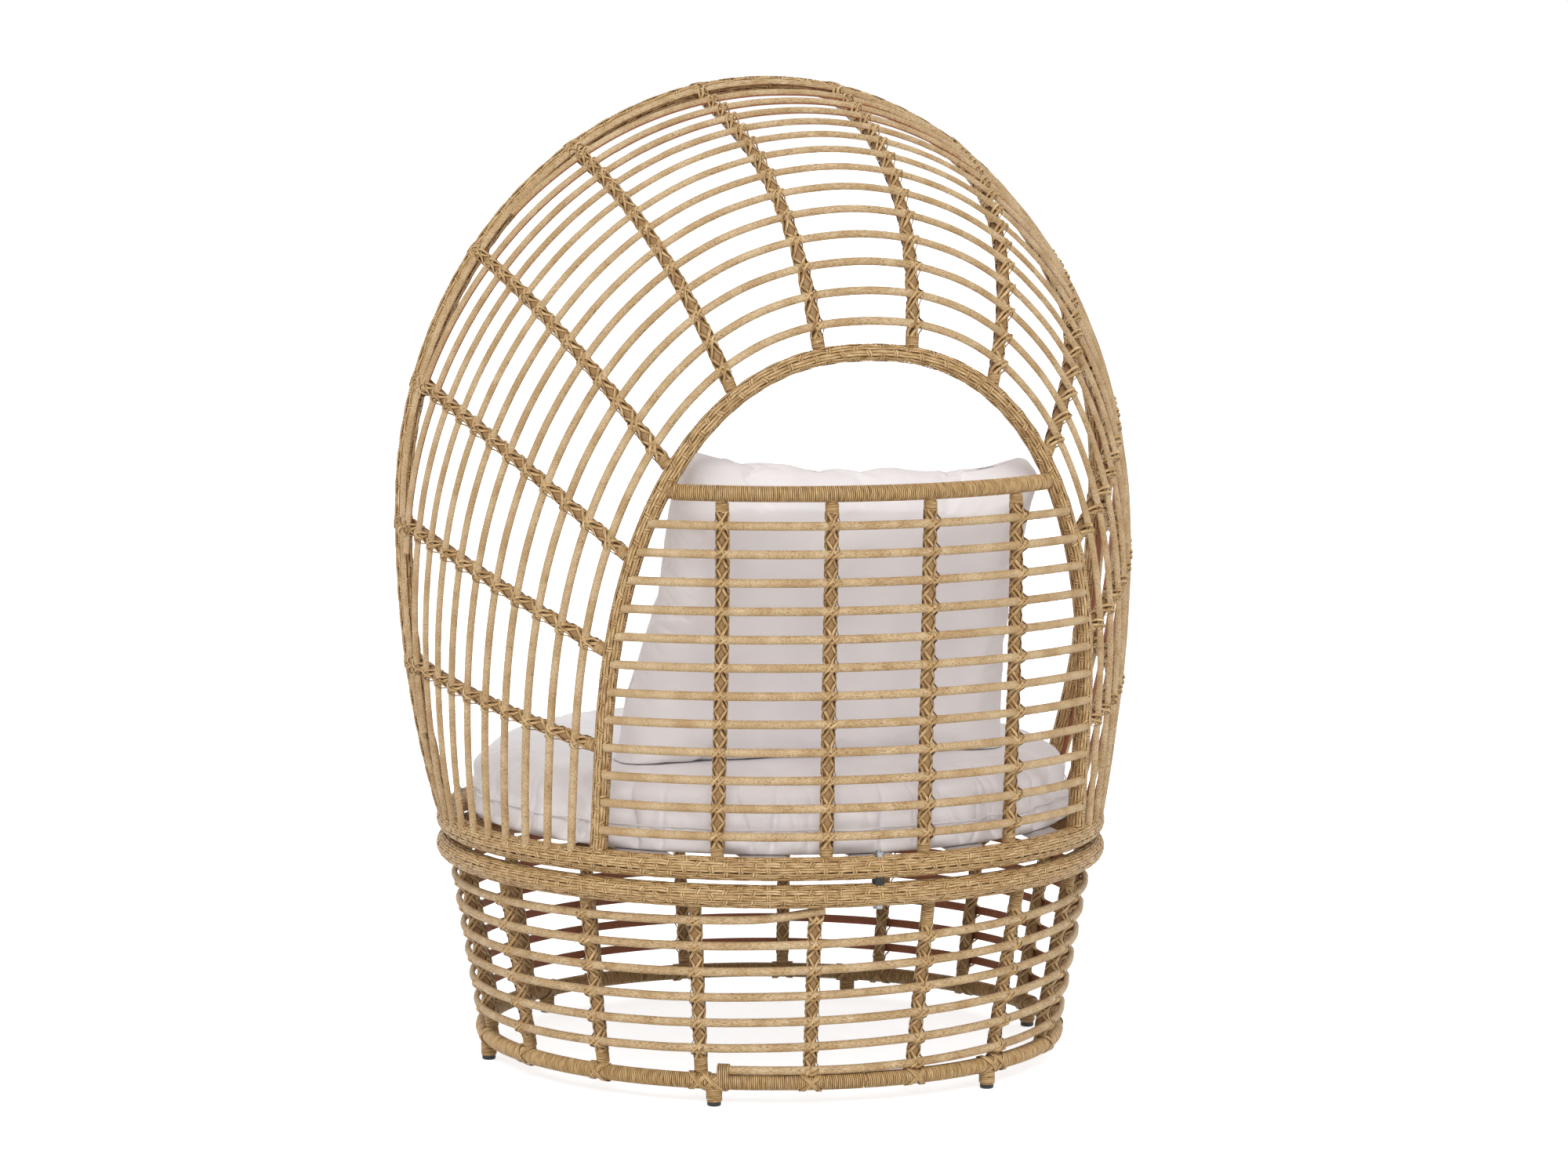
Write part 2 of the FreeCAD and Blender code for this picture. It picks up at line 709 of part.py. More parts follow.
def path_stubs(path, radius):
    """Cutters at both ends of a path, pointing along it."""
    cutters = []
    start, along = path_start(path)
    cutters.append(stub(start, along, radius))
    last = path.OrderedVertexes[-1].Point
    edge = path.OrderedEdges[-1]
    end = edge.valueAt(edge.LastParameter)
    back = edge.tangentAt(edge.LastParameter) * -1
    if end.distanceToPoint(last) > 1e-6:
        back = edge.tangentAt(edge.FirstParameter)
    cutters.append(stub(last, back, radius))
    return cutters


def hoop_path(outline, stations):
    points = []
    for i in range(-stations, stations + 1):
        p = outline.at(abs(i) / stations)
        points.append(V(math.copysign(p.x, i), p.y, p.z) if i else V(0, p.y, p.z))
    return smooth_path(points)


def make_hood():
    ring_core = torus(RING_RADIUS, HOOD_RING_Z, RING_TUBE / 2 + WELD_GAP)
    ring_full = torus(RING_RADIUS, HOOD_RING_Z, RING_OUTER + SEAT_GAP)
    hoop = hoop_path(HOOP, 16)
    arch = hoop_path(ARCH, 13)
    rail = rail_path()
    rib_places = [(pair, side) for pair in range(RIB_PAIRS) for side in (1, -1)]
    ribs = [rib_path(pair, side) for pair, side in rib_places]
    posts = [back_post_path(number) for number in range(BACK_POSTS)]
    bars = [seat_bar_path(number) for number in range(SEAT_BARS)]

    ring_cutters = bolt_holes(HOOD_RING_Z)
    ring_cutters += path_stubs(hoop, HOOP_TUBE / 2) + path_stubs(arch, HOOP_TUBE / 2)
    ring_cutters += [path_stubs(path, RIB_RADIUS)[0] for path in posts]
    for path in bars:
        ring_cutters += path_stubs(path, SEAT_BAR_TUBE / 2)
    ring_weave = ring_sleeve(RING_RADIUS, HOOD_RING_Z, RING_OUTER, RING_TUBE / 2 + SLEEVE_GAP)
    export("hood_seat_ring_weave", ring_weave.cut(ring_cutters))
    ring_core_tube = ring_tube(RING_RADIUS, HOOD_RING_Z, RING_TUBE / 2)
    export("hood_seat_ring_tube", ring_core_tube.cut(bolt_holes(HOOD_RING_Z)))

    hoop_cutters = [path_stubs(path, RIB_RADIUS)[1] for path in ribs]
    arch_cutters = [path_stubs(path, RIB_RADIUS)[0] for path in ribs] + path_stubs(rail, RAIL_TUBE / 2)
    for name, path, cutters in (("front_hoop", hoop, hoop_cutters), ("back_arch", arch, arch_cutters)):
        weave = tube(path, HOOP_OUTER, HOOP_TUBE / 2 + SLEEVE_GAP).cut(ring_full)
        export(name + "_weave", biggest(biggest(weave).cut(cutters)))
        core = tube(path, HOOP_TUBE / 2, HOOP_TUBE / 2 - TUBE_WALL).cut(ring_core)
        export(name + "_tube", biggest(core))

    for number, (pair, side) in enumerate(rib_places, 1):
        rib = tube(ribs[number - 1], RIB_RADIUS, RIB_RADIUS - RIB_WALL)
        for outline in (HOOP, ARCH):
            rib = rib.cut(outline_stretch(outline, rib_share(pair), side, HOOP_TUBE / 2 + WELD_GAP))
        export("hood_rib_%02d" % number, biggest(rib))
    for number in range(1, HOOD_CANES + 1):
        cane = hood_cane(number)
        if cane_end(number) == 1.0:
            cane = biggest(cane.cut(ring_full))
        export("hood_cane_%02d" % number, cane)

    rail_core = rod(rail, RAIL_TUBE / 2 + WELD_GAP)
    rail_tube = tube(rail, RAIL_TUBE / 2, RAIL_TUBE / 2 - TUBE_WALL)
    rail_wrap = tube(rail, RAIL_OUTER, RAIL_TUBE / 2 + SLEEVE_GAP)
    for side in (1, -1):
        rail_tube = rail_tube.cut(arch_stretch(rail_rise(), side, HOOP_TUBE / 2 + WELD_GAP))
        rail_wrap = rail_wrap.cut(arch_stretch(rail_rise(), side, HOOP_OUTER + SEAT_GAP))
    export("back_rail_tube", biggest(rail_tube))
    rail_cutters = [path_stubs(path, RIB_RADIUS)[1] for path in posts]
    export("back_rail_wrap", biggest(biggest(rail_wrap).cut(rail_cutters)))
    for number, path in enumerate(posts, 1):
        post = tube(path, RIB_RADIUS, RIB_RADIUS - RIB_WALL)
        export("back_post_%d" % number, biggest(post.cut(ring_core).cut(rail_core)))
    rows = [biggest(panel_cane(number)) for number in range(PANEL_CANES)]
    export("back_panel_canes", Part.makeCompound(rows))

    bar_solids = []
    for path in bars:
        bar = tube(path, SEAT_BAR_TUBE / 2, SEAT_BAR_TUBE / 2 - TUBE_WALL)
        bar_solids.append(biggest(bar.cut(ring_core)))
    export("seat_support_bars", Part.makeCompound(bar_solids))
    export("seat_straps", Part.makeCompound([strap(number) for number in range(STRAPS)]))


def make_base():
    top_core = torus(RING_RADIUS, BASE_RING_Z, RING_TUBE / 2 + WELD_GAP)
    floor_core = torus(FLOOR_RING_RADIUS, FLOOR_RING_Z, FLOOR_TUBE / 2 + WELD_GAP)
    posts = [base_post_path(number) for number in range(BASE_POSTS)]
    stubs = [path_stubs(path, RIB_RADIUS) for path in posts]
    top_cutters = bolt_holes(BASE_RING_Z) + [pair[1] for pair in stubs]
    weave = ring_sleeve(RING_RADIUS, BASE_RING_Z, RING_OUTER, RING_TUBE / 2 + SLEEVE_GAP)
    export("base_ring_weave", weave.cut(top_cutters))
    core = ring_tube(RING_RADIUS, BASE_RING_Z, RING_TUBE / 2)
    export("base_ring_tube", core.cut(bolt_holes(BASE_RING_Z)))

    floor_cutters = [pair[0] for pair in stubs]
    for angle in leg_angles():
        place = around(FLOOR_RING_RADIUS, angle, FLOOR_RING_Z)
        floor_cutters.append(stub(place, UP * -1, LEG_TUBE / 2))
    wrap = ring_sleeve(FLOOR_RING_RADIUS, FLOOR_RING_Z, FLOOR_OUTER, FLOOR_TUBE / 2 + SLEEVE_GAP)
    export("floor_ring_wrap", wrap.cut(floor_cutters))
    export("floor_ring_tube", ring_tube(FLOOR_RING_RADIUS, FLOOR_RING_Z, FLOOR_TUBE / 2))

    solids = []
    for path in posts:
        post = tube(path, RIB_RADIUS, RIB_RADIUS - RIB_WALL)
        solids.append(biggest(post.cut(top_core).cut(floor_core)))
    export("base_posts", Part.makeCompound(solids))
    for number, turn in enumerate(base_cane_turns(), 1):
        export("base_cane_turn_%d" % number, turn)
    legs = [biggest(leg(angle).cut(floor_core)) for angle in leg_angles()]
    export("legs", Part.makeCompound(legs))
    export("foot_glides", Part.makeCompound([glide(angle) for angle in leg_angles()]))
    export("ring_bolts", Part.makeCompound([bolt(number) for number in range(BOLTS)]))
    export("ring_nuts", Part.makeCompound([nut(number) for number in range(BOLTS)]))
    export("ring_spacers", Part.makeCompound([spacer(number) for number in range(BOLTS)]))


os.makedirs("parts", exist_ok=True)
make_hood()
make_base()
export("seat_cushion", seat_cushion())
export("back_cushion", back_cushion())
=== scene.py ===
# %% [markdown]
# # A free-standing garden egg chair in woven plastic rattan
# The chair is a cage of thin steel tube. Half-round plastic canes are laid over the tubes, and
# narrow plastic strips are woven, coiled and crossed round them until little steel shows.
# The steel and the canes come from the CAD model. This lesson adds what a weaver adds, and the
# two cushions, and then lights the chair.

import math

import bpy
import numpy as np
from mathutils import Matrix, Vector


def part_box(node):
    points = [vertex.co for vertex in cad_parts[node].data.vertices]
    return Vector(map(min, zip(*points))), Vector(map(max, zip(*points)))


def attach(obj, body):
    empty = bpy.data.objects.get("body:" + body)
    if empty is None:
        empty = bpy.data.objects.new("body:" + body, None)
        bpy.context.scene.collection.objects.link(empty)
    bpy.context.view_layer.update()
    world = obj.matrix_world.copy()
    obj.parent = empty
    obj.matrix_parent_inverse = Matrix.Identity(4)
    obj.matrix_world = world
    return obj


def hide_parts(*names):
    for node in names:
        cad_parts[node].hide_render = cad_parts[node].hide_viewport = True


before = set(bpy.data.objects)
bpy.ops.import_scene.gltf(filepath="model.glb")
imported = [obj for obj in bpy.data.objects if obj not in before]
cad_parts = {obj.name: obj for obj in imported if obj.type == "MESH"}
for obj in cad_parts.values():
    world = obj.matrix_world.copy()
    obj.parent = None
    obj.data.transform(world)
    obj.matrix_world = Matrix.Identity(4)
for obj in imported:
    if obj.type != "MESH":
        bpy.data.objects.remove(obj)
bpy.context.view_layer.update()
bpy.ops.object.select_all(action="DESELECT")

# %% [markdown]
# ## The camera
# A chair like this is looked at from behind and a little above, with a long lens, so that the
# hoops stay round. The three angles below are yaw, pitch and roll; a matrix of the camera's own
# right, up and back directions turns them into a rotation with no doubt about the order.

# %% Camera
CAMERA_PLACE = Vector((2.5957, 7.7675, 1.6817))
CAMERA_YAW = -0.3247            # radians, as are the next two
CAMERA_PITCH = 0.1204
CAMERA_ROLL = 0.0061
CAMERA_LENS = 127.8             # millimetres, as is the sensor's width
CAMERA_SENSOR = 36.0

look = Vector((math.sin(CAMERA_YAW) * math.cos(CAMERA_PITCH),
               -math.cos(CAMERA_YAW) * math.cos(CAMERA_PITCH),
               -math.sin(CAMERA_PITCH)))
level_right = look.cross(Vector((0, 0, 1))).normalized()
level_up = level_right.cross(look)
right = level_right * math.cos(CAMERA_ROLL) + level_up * math.sin(CAMERA_ROLL)
up = level_up * math.cos(CAMERA_ROLL) - level_right * math.sin(CAMERA_ROLL)
turn = Matrix((right, up, -look)).transposed()
bpy.ops.object.camera_add(location=CAMERA_PLACE, rotation=turn.to_euler())
camera = bpy.context.object
camera.data.lens = CAMERA_LENS
camera.data.sensor_width = CAMERA_SENSOR
bpy.context.scene.camera = camera
print("camera", tuple(round(v, 3) for v in camera.location))

# %% [markdown]
# ## Materials: two small helpers
# A colour picked on a screen is sRGB, and a shader takes linear light, so one function turns a
# hex value into what the shader wants. The other adds a node, sets it and links it in one go.

# %% Material helpers


def linear(code):
    """An sRGB hex colour as linear RGBA."""
    parts = [int(code[i:i + 2], 16) / 255 for i in (1, 3, 5)]
    return tuple(c / 12.92 if c <= 0.04045 else ((c + 0.055) / 1.055) ** 2.4 for c in parts) + (1.0,)


def node(tree, kind, inputs=None, **settings):
    """Adds a node, sets its properties and its sockets, and links the sockets that are given one."""
    made = tree.nodes.new(kind)
    for name, value in settings.items():
        setattr(made, name, value)
    for socket, value in (inputs or {}).items():
        if isinstance(value, bpy.types.NodeSocket):
            tree.links.new(value, made.inputs[socket])
        else:
            made.inputs[socket].default_value = value
    return made


def maths(tree, operation, *values):
    """The result of one sum on numbers or sockets."""
    return node(tree, "ShaderNodeMath", dict(enumerate(values)), operation=operation).outputs[0]


def ramp(tree, factor, stops):
    """A colour ramp; stops are (place, hex colour)."""
    made = node(tree, "ShaderNodeValToRGB", {0: factor})
    bar = made.color_ramp.elements
    while len(bar) < len(stops):
        bar.new(0.5)
    for element, (place, code) in zip(bar, stops):
        element.position = place
        element.color = linear(code)
    return made.outputs[0]


print("mid grey in linear light", [round(c, 3) for c in linear("#808080")])

# %% [markdown]
# ### Starting a material
# Every material starts from the Principled shader, with its roughness, shine and index of
# refraction set to what the real one has. A bump reads a pattern as small heights, and paint
# gives a whole piece one material.

# %% New material


def new_material(name, roughness, specular=0.5, ior=1.5, metallic=0.0, sheen=0.0):
    """A material with a Principled shader, and its tree and shader to build on."""
    material = bpy.data.materials.new(name)
    material.use_nodes = True
    tree = material.node_tree
    shader = tree.nodes["Principled BSDF"]
    shader.inputs["Roughness"].default_value = roughness
    shader.inputs["Specular IOR Level"].default_value = specular
    shader.inputs["IOR"].default_value = ior
    shader.inputs["Metallic"].default_value = metallic
    shader.inputs["Sheen Weight"].default_value = sheen
    return material, tree, shader


def bump(tree, shader, height, strength, distance):
    """Reads height as a relief, distance metres deep, and links it to the shader."""
    made = node(tree, "ShaderNodeBump", {"Height": height, "Strength": strength, "Distance": distance})
    tree.links.new(made.outputs[0], shader.inputs["Normal"])


def paint(piece, material):
    """Gives the whole piece one material."""
    piece.data.materials.clear()
    piece.data.materials.append(material)


print("helpers ready for", len(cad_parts), "CAD nodes")

# %% [markdown]
# ### The plastic strip
# The weaver's strip is extruded polyethylene, drawn with fine lines and tinted in several browns
# so that it passes for peeled willow. Its own UV map runs in metres along the strip and from 0
# to 1 across a double strip, or from a half to 1 across a single one, plus a whole number that
# differs from strip to strip. So a noise that is long one way and fine the other follows every
# turn of the weave. The edges, and the groove of a double strip, are darker: painted shade where strips meet.

# %% Strip material
STRIP_GRAIN_LENGTH = 0.016      # a streak is about 16 mm long
STRIP_STREAKS = 4.0             # and there are about four across a strip
STRIP_TINT_LENGTH = 0.05        # the tint drifts more slowly along it

weave_strip, tree, shader = new_material("polyethylene_strip_extruded", 0.5, specular=0.35, ior=1.51)
place = node(tree, "ShaderNodeUVMap", uv_map="strip").outputs[0]
split = node(tree, "ShaderNodeSeparateXYZ", {0: place})
grain = node(tree, "ShaderNodeCombineXYZ", {
    0: maths(tree, "DIVIDE", split.outputs[0], STRIP_GRAIN_LENGTH),
    1: maths(tree, "MULTIPLY", split.outputs[1], STRIP_STREAKS)}).outputs[0]
streaks = node(tree, "ShaderNodeTexNoise",
               {"Vector": grain, "Scale": 1.0, "Detail": 3.0, "Roughness": 0.6})
patch = node(tree, "ShaderNodeCombineXYZ", {
    0: maths(tree, "DIVIDE", split.outputs[0], STRIP_TINT_LENGTH),
    1: maths(tree, "FLOOR", split.outputs[1])}).outputs[0]
tint = node(tree, "ShaderNodeTexNoise", {"Vector": patch, "Scale": 1.7, "Detail": 1.0})
streak_colour = ramp(tree, streaks.outputs[0], (
    (0.30, "#6E5537"), (0.40, "#AB8D61"), (0.52, "#CBAD82"), (0.68, "#E8D2AE")))
tint_colour = ramp(tree, tint.outputs[0], ((0.32, "#D3BE9C"), (0.5, "#EEE2C8"), (0.7, "#FFFAEC")))
tinted = node(tree, "ShaderNodeMix", {0: 0.75, 6: streak_colour, 7: tint_colour},
              data_type="RGBA", blend_type="MULTIPLY")
# Across a strip, to_line is 0 on each edge and in the groove, and 0.25 midway between them.
# Near 0 the colour is darkened: painted shade where the strips meet and in the groove.
off_middle = maths(tree, "ABSOLUTE", maths(tree, "SUBTRACT", maths(tree, "FRACT", split.outputs[1]), 0.5))
to_line = maths(tree, "MINIMUM", off_middle, maths(tree, "SUBTRACT", 0.5, off_middle))
painted_edge_shade = ramp(tree, maths(tree, "MULTIPLY", to_line, 4.0), (
    (0.07, "#4C3A29"), (0.20, "#CBB99D"), (0.34, "#FFFFFF")))
mixed = node(tree, "ShaderNodeMix", {0: 1.0, 6: tinted.outputs[2], 7: painted_edge_shade},
             data_type="RGBA", blend_type="MULTIPLY")
tree.links.new(mixed.outputs[2], shader.inputs["Base Color"])
bump(tree, shader, streaks.outputs[0], strength=0.35, distance=0.0006)
print("material", weave_strip.name)

# %% [markdown]
# ### The half-round cane
# The canes are foamed polyethylene, half round, printed with short dark dashes that run along
# them on the round side. The flat side faces the sitter and was left smooth and redder.
# A cane is a CAD node, so its pattern has to come from where a point is, in Object coordinates.
# Three small recipes give "how far along the cane" for rows across the panel, turns round the
# base and arches over the hood. Round a bend, the distance is an angle times a mean radius.

# %% Directions of a cane
HOOD_SPRING_Z = 0.506           # above this height the hood canes bend over
HOOD_MEAN_RADIUS = 0.5
BASE_MEAN_RADIUS = 0.45


def cane_directions(tree, lay, x, y, z):
    """Distance along the cane and the two distances across it, for one way of laying it."""
    if lay == "panel":
        return x, y, z
    if lay == "base":
        along = maths(tree, "MULTIPLY", maths(tree, "ARCTAN2", x, y), BASE_MEAN_RADIUS)
        flat = node(tree, "ShaderNodeCombineXYZ", {0: x, 1: y}).outputs[0]
        return along, node(tree, "ShaderNodeVectorMath", {0: flat}, operation="LENGTH").outputs[1], z
    rise = maths(tree, "SUBTRACT", z, HOOD_SPRING_Z)
    over = maths(tree, "MAXIMUM", rise, 0.0)
    under = maths(tree, "MINIMUM", rise, 0.0)
    angle = maths(tree, "MULTIPLY", maths(tree, "ARCTAN2", x, over), HOOD_MEAN_RADIUS)
    flat = node(tree, "ShaderNodeCombineXYZ", {0: x, 1: over}).outputs[0]
    reach = node(tree, "ShaderNodeVectorMath", {0: flat}, operation="LENGTH").outputs[1]
    return maths(tree, "ADD", angle, under), reach, y


print("hood canes bend over from", HOOD_SPRING_Z, "m up")

# %% [markdown]
# The dashes are a noise that is stretched along the cane. A face whose normal points back into
# the chair is on the cane's flat side, so the material asks that of every point.

# %% Cane material
DASH_LENGTH = 0.0050            # a printed dash is about 5 mm long
DASH_WIDTH = 0.0006             # and half a millimetre wide
FLAT_SIDE = -0.05               # metres: normal times the way out is below this on the flat side


def cane_material(name, lay, centre):
    """Foamed polyethylene cane: dashes on the side that faces away from centre, smooth inside."""
    material, tree, shader = new_material(name, 0.55, specular=0.3, ior=1.51)
    spot = node(tree, "ShaderNodeTexCoord")
    split = node(tree, "ShaderNodeSeparateXYZ", {0: spot.outputs["Object"]})
    along, across, depth = cane_directions(tree, lay, *split.outputs[:3])
    grain = node(tree, "ShaderNodeCombineXYZ", {
        0: maths(tree, "DIVIDE", along, DASH_LENGTH),
        1: maths(tree, "DIVIDE", across, DASH_WIDTH),
        2: maths(tree, "DIVIDE", depth, DASH_WIDTH)}).outputs[0]
    dashes = node(tree, "ShaderNodeTexNoise",
                  {"Vector": grain, "Scale": 1.0, "Detail": 2.0, "Roughness": 0.55})
    printed = ramp(tree, dashes.outputs[0], (
        (0.33, "#54432F"), (0.39, "#AD9069"), (0.50, "#C9AD84"), (0.66, "#DDC6A2")))
    cloud = node(tree, "ShaderNodeTexNoise",
                 {"Vector": spot.outputs["Object"], "Scale": 30.0, "Detail": 1.0})
    drift = ramp(tree, cloud.outputs[0], ((0.35, "#E6DCCD"), (0.65, "#FFFFFF")))
    outside = node(tree, "ShaderNodeMix", {0: 1.0, 6: printed, 7: drift},
                   data_type="RGBA", blend_type="MULTIPLY").outputs[2]
    inside = ramp(tree, dashes.outputs[0], ((0.3, "#8E563C"), (0.7, "#AB6E50")))
    away = node(tree, "ShaderNodeVectorMath", {0: spot.outputs["Object"], 1: centre}, operation="SUBTRACT")
    if lay == "base":
        away = node(tree, "ShaderNodeVectorMath", {0: away.outputs[0], 1: (1, 1, 0)}, operation="MULTIPLY")
    facing = node(tree, "ShaderNodeVectorMath", {0: spot.outputs["Normal"], 1: away.outputs[0]},
                  operation="DOT_PRODUCT").outputs[1]
    is_inside = maths(tree, "LESS_THAN", facing, FLAT_SIDE)
    mixed = node(tree, "ShaderNodeMix", {0: is_inside, 6: outside, 7: inside}, data_type="RGBA")
    tree.links.new(mixed.outputs[2], shader.inputs["Base Color"])
    bump(tree, shader, dashes.outputs[0], strength=0.3, distance=0.0005)
    return material


panel_cane = cane_material("foamed_polyethylene_cane_panel", "panel", (0.0, -2.0, 0.6))
base_cane = cane_material("foamed_polyethylene_cane_base", "base", (0.0, 0.0, 0.0))
hood_cane = cane_material("foamed_polyethylene_cane_hood", "hood", (0.0, 0.0, 0.75))
print("materials", panel_cane.name, base_cane.name, hood_cane.name)

# %% [markdown]
# ### Steel, webbing, plastic and zinc
# The tubes are powder coated brown, so that a gap in the weave doesn't shine: a matt coat with a
# slight orange-peel. The seat straps are woven elastic, the glides are moulded polypropylene and
# the bolts are zinc plated.

# %% Small materials


def grained(name, colours, grain, roughness, strength, depth, **look):
    """A plain material with a fine cloudy grain of the given size in metres."""
    material, tree, shader = new_material(name, roughness, **look)
    spot = node(tree, "ShaderNodeTexCoord").outputs["Object"]
    cloud = node(tree, "ShaderNodeTexNoise", {"Vector": spot, "Scale": 1 / grain, "Detail": 3.0})
    tree.links.new(ramp(tree, cloud.outputs[0], ((0.3, colours[0]), (0.7, colours[1]))),
                   shader.inputs["Base Color"])
    bump(tree, shader, cloud.outputs[0], strength, depth)
    return material


coated_steel = grained("powder_coated_steel_brown", ("#87653F", "#9E7A4B"),
                       grain=0.003, roughness=0.5, strength=0.2, depth=0.0003)
webbing = grained("elastic_webbing_woven", ("#BDB8B6", "#D3CECC"),
                  grain=0.002, roughness=0.85, strength=0.5, depth=0.0005)
polypropylene = grained("polypropylene_moulded_black", ("#141414", "#1E1E1F"),
                        grain=0.001, roughness=0.45, strength=0.1, depth=0.0002)
zinc = grained("zinc_plated_steel", ("#8B8D90", "#A9ABAE"),
               grain=0.004, roughness=0.32, strength=0.05, depth=0.0001, metallic=1.0)

for name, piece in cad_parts.items():
    if name.startswith("hood_cane"):
        paint(piece, hood_cane)
    elif name.startswith("base_cane"):
        paint(piece, base_cane)
    elif name == "back_panel_canes":
        paint(piece, panel_cane)
    elif name == "seat_straps":
        paint(piece, webbing)
    elif name in ("foot_glides", "ring_spacers"):
        paint(piece, polypropylene)
    elif name in ("ring_bolts", "ring_nuts"):
        paint(piece, zinc)
    else:
        paint(piece, coated_steel)
print("painted", len(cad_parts), "CAD nodes")

# %% [markdown]
# ## Lines to weave along
# Every tube of the frame has a centre line. To lay a strip on a tube, a weaver thinks in three
# numbers: how far along the tube, how far round it, and how high above it. A Route holds a centre
# line and the direction that counts as outward, and turns those three numbers into a place.

# %% Route


def unit(vectors):
    """The same directions, each one long."""
    vectors = np.asarray(vectors, float)
    return vectors / np.linalg.norm(vectors, axis=-1, keepdims=True)


class Route:
    """A tube's centre line with an outward direction at each of its points."""

    def __init__(self, points, outward, closed=False):
        self.points = np.asarray(points, float)
        self.marks = np.concatenate([[0], np.cumsum(np.linalg.norm(np.diff(self.points, axis=0), axis=1))])
        self.length = self.marks[-1]
        self.closed = closed
        if closed:
            ahead = np.roll(self.points[:-1], -1, axis=0) - np.roll(self.points[:-1], 1, axis=0)
            self.along = unit(np.vstack([ahead, ahead[:1]]))
        else:
            self.along = unit(np.gradient(self.points, axis=0))
        outward = np.asarray(outward, float)
        outward = outward - self.along * np.sum(outward * self.along, axis=1, keepdims=True)
        self.outward = unit(outward)
        self.side = np.cross(self.along, self.outward)

    def read(self, table, s):
        """Rows of a table at the distances s along the route."""
        return np.stack([np.interp(s, self.marks, table[:, i]) for i in range(3)], axis=-1)

    def lay(self, s, angle, radius):
        """Places and outward directions of points at s along, angle round and radius out."""
        s, angle, radius = np.broadcast_arrays(s, angle, radius)
        if self.closed:
            s = np.mod(s, self.length)
        way = (self.read(self.outward, s) * np.cos(angle)[:, None]
               + self.read(self.side, s) * np.sin(angle)[:, None])
        way = unit(way)
        return self.read(self.points, s) + way * radius[:, None], way


print("a Route reads places along, round and out from a line")

# %% [markdown]
# ## Strips
# A strip is a narrow ribbon with a rounded upper side. Blender's curve bevel could draw one, but a
# curve decides its own twist, and a weaver's strip always lies flat on the tube. So each strip is
# a row of cross-sections, each turned to face away from the tube, joined into a closed skin.

# %% Cross-sections of a strip
DOUBLE = ((-0.5, 0.0), (-0.36, 1.0), (0.0, 0.55), (0.36, 1.0), (0.5, 0.0))
SINGLE = ((-0.5, 0.0), (-0.28, 1.0), (0.28, 1.0), (0.5, 0.0))
DOUBLE_LANE = (0.98, 0.5)       # width and middle in the UV map: two strips fill a lane,
SINGLE_LANE = (0.48, 0.75)      # and one strip is the second half of it


def strip_skin(centre, outward, width, height, shape, loop):
    """The points of a strip: a row of cross-sections along centre that face outward."""
    if loop:
        ahead = np.roll(centre, -1, axis=0) - np.roll(centre, 1, axis=0)
    else:
        ahead = np.gradient(centre, axis=0)
    ahead = unit(ahead)
    across = unit(np.cross(outward, ahead))
    top = np.cross(ahead, across)
    return (centre[:, None] + across[:, None] * (shape[:, 0] * width)[None, :, None]
            + top[:, None] * (shape[:, 1] * height)[None, :, None])


print("a double strip has", len(DOUBLE), "points across it and a single one", len(SINGLE))

# %% [markdown]
# Strips that belong together are gathered in one Bundle and become one mesh. Each strip gets a lane
# of its own in the UV map, so that the material can tell strips apart and follow each one's run.

# %% Bundles of strips
SMOOTH_ANGLE = math.radians(50)


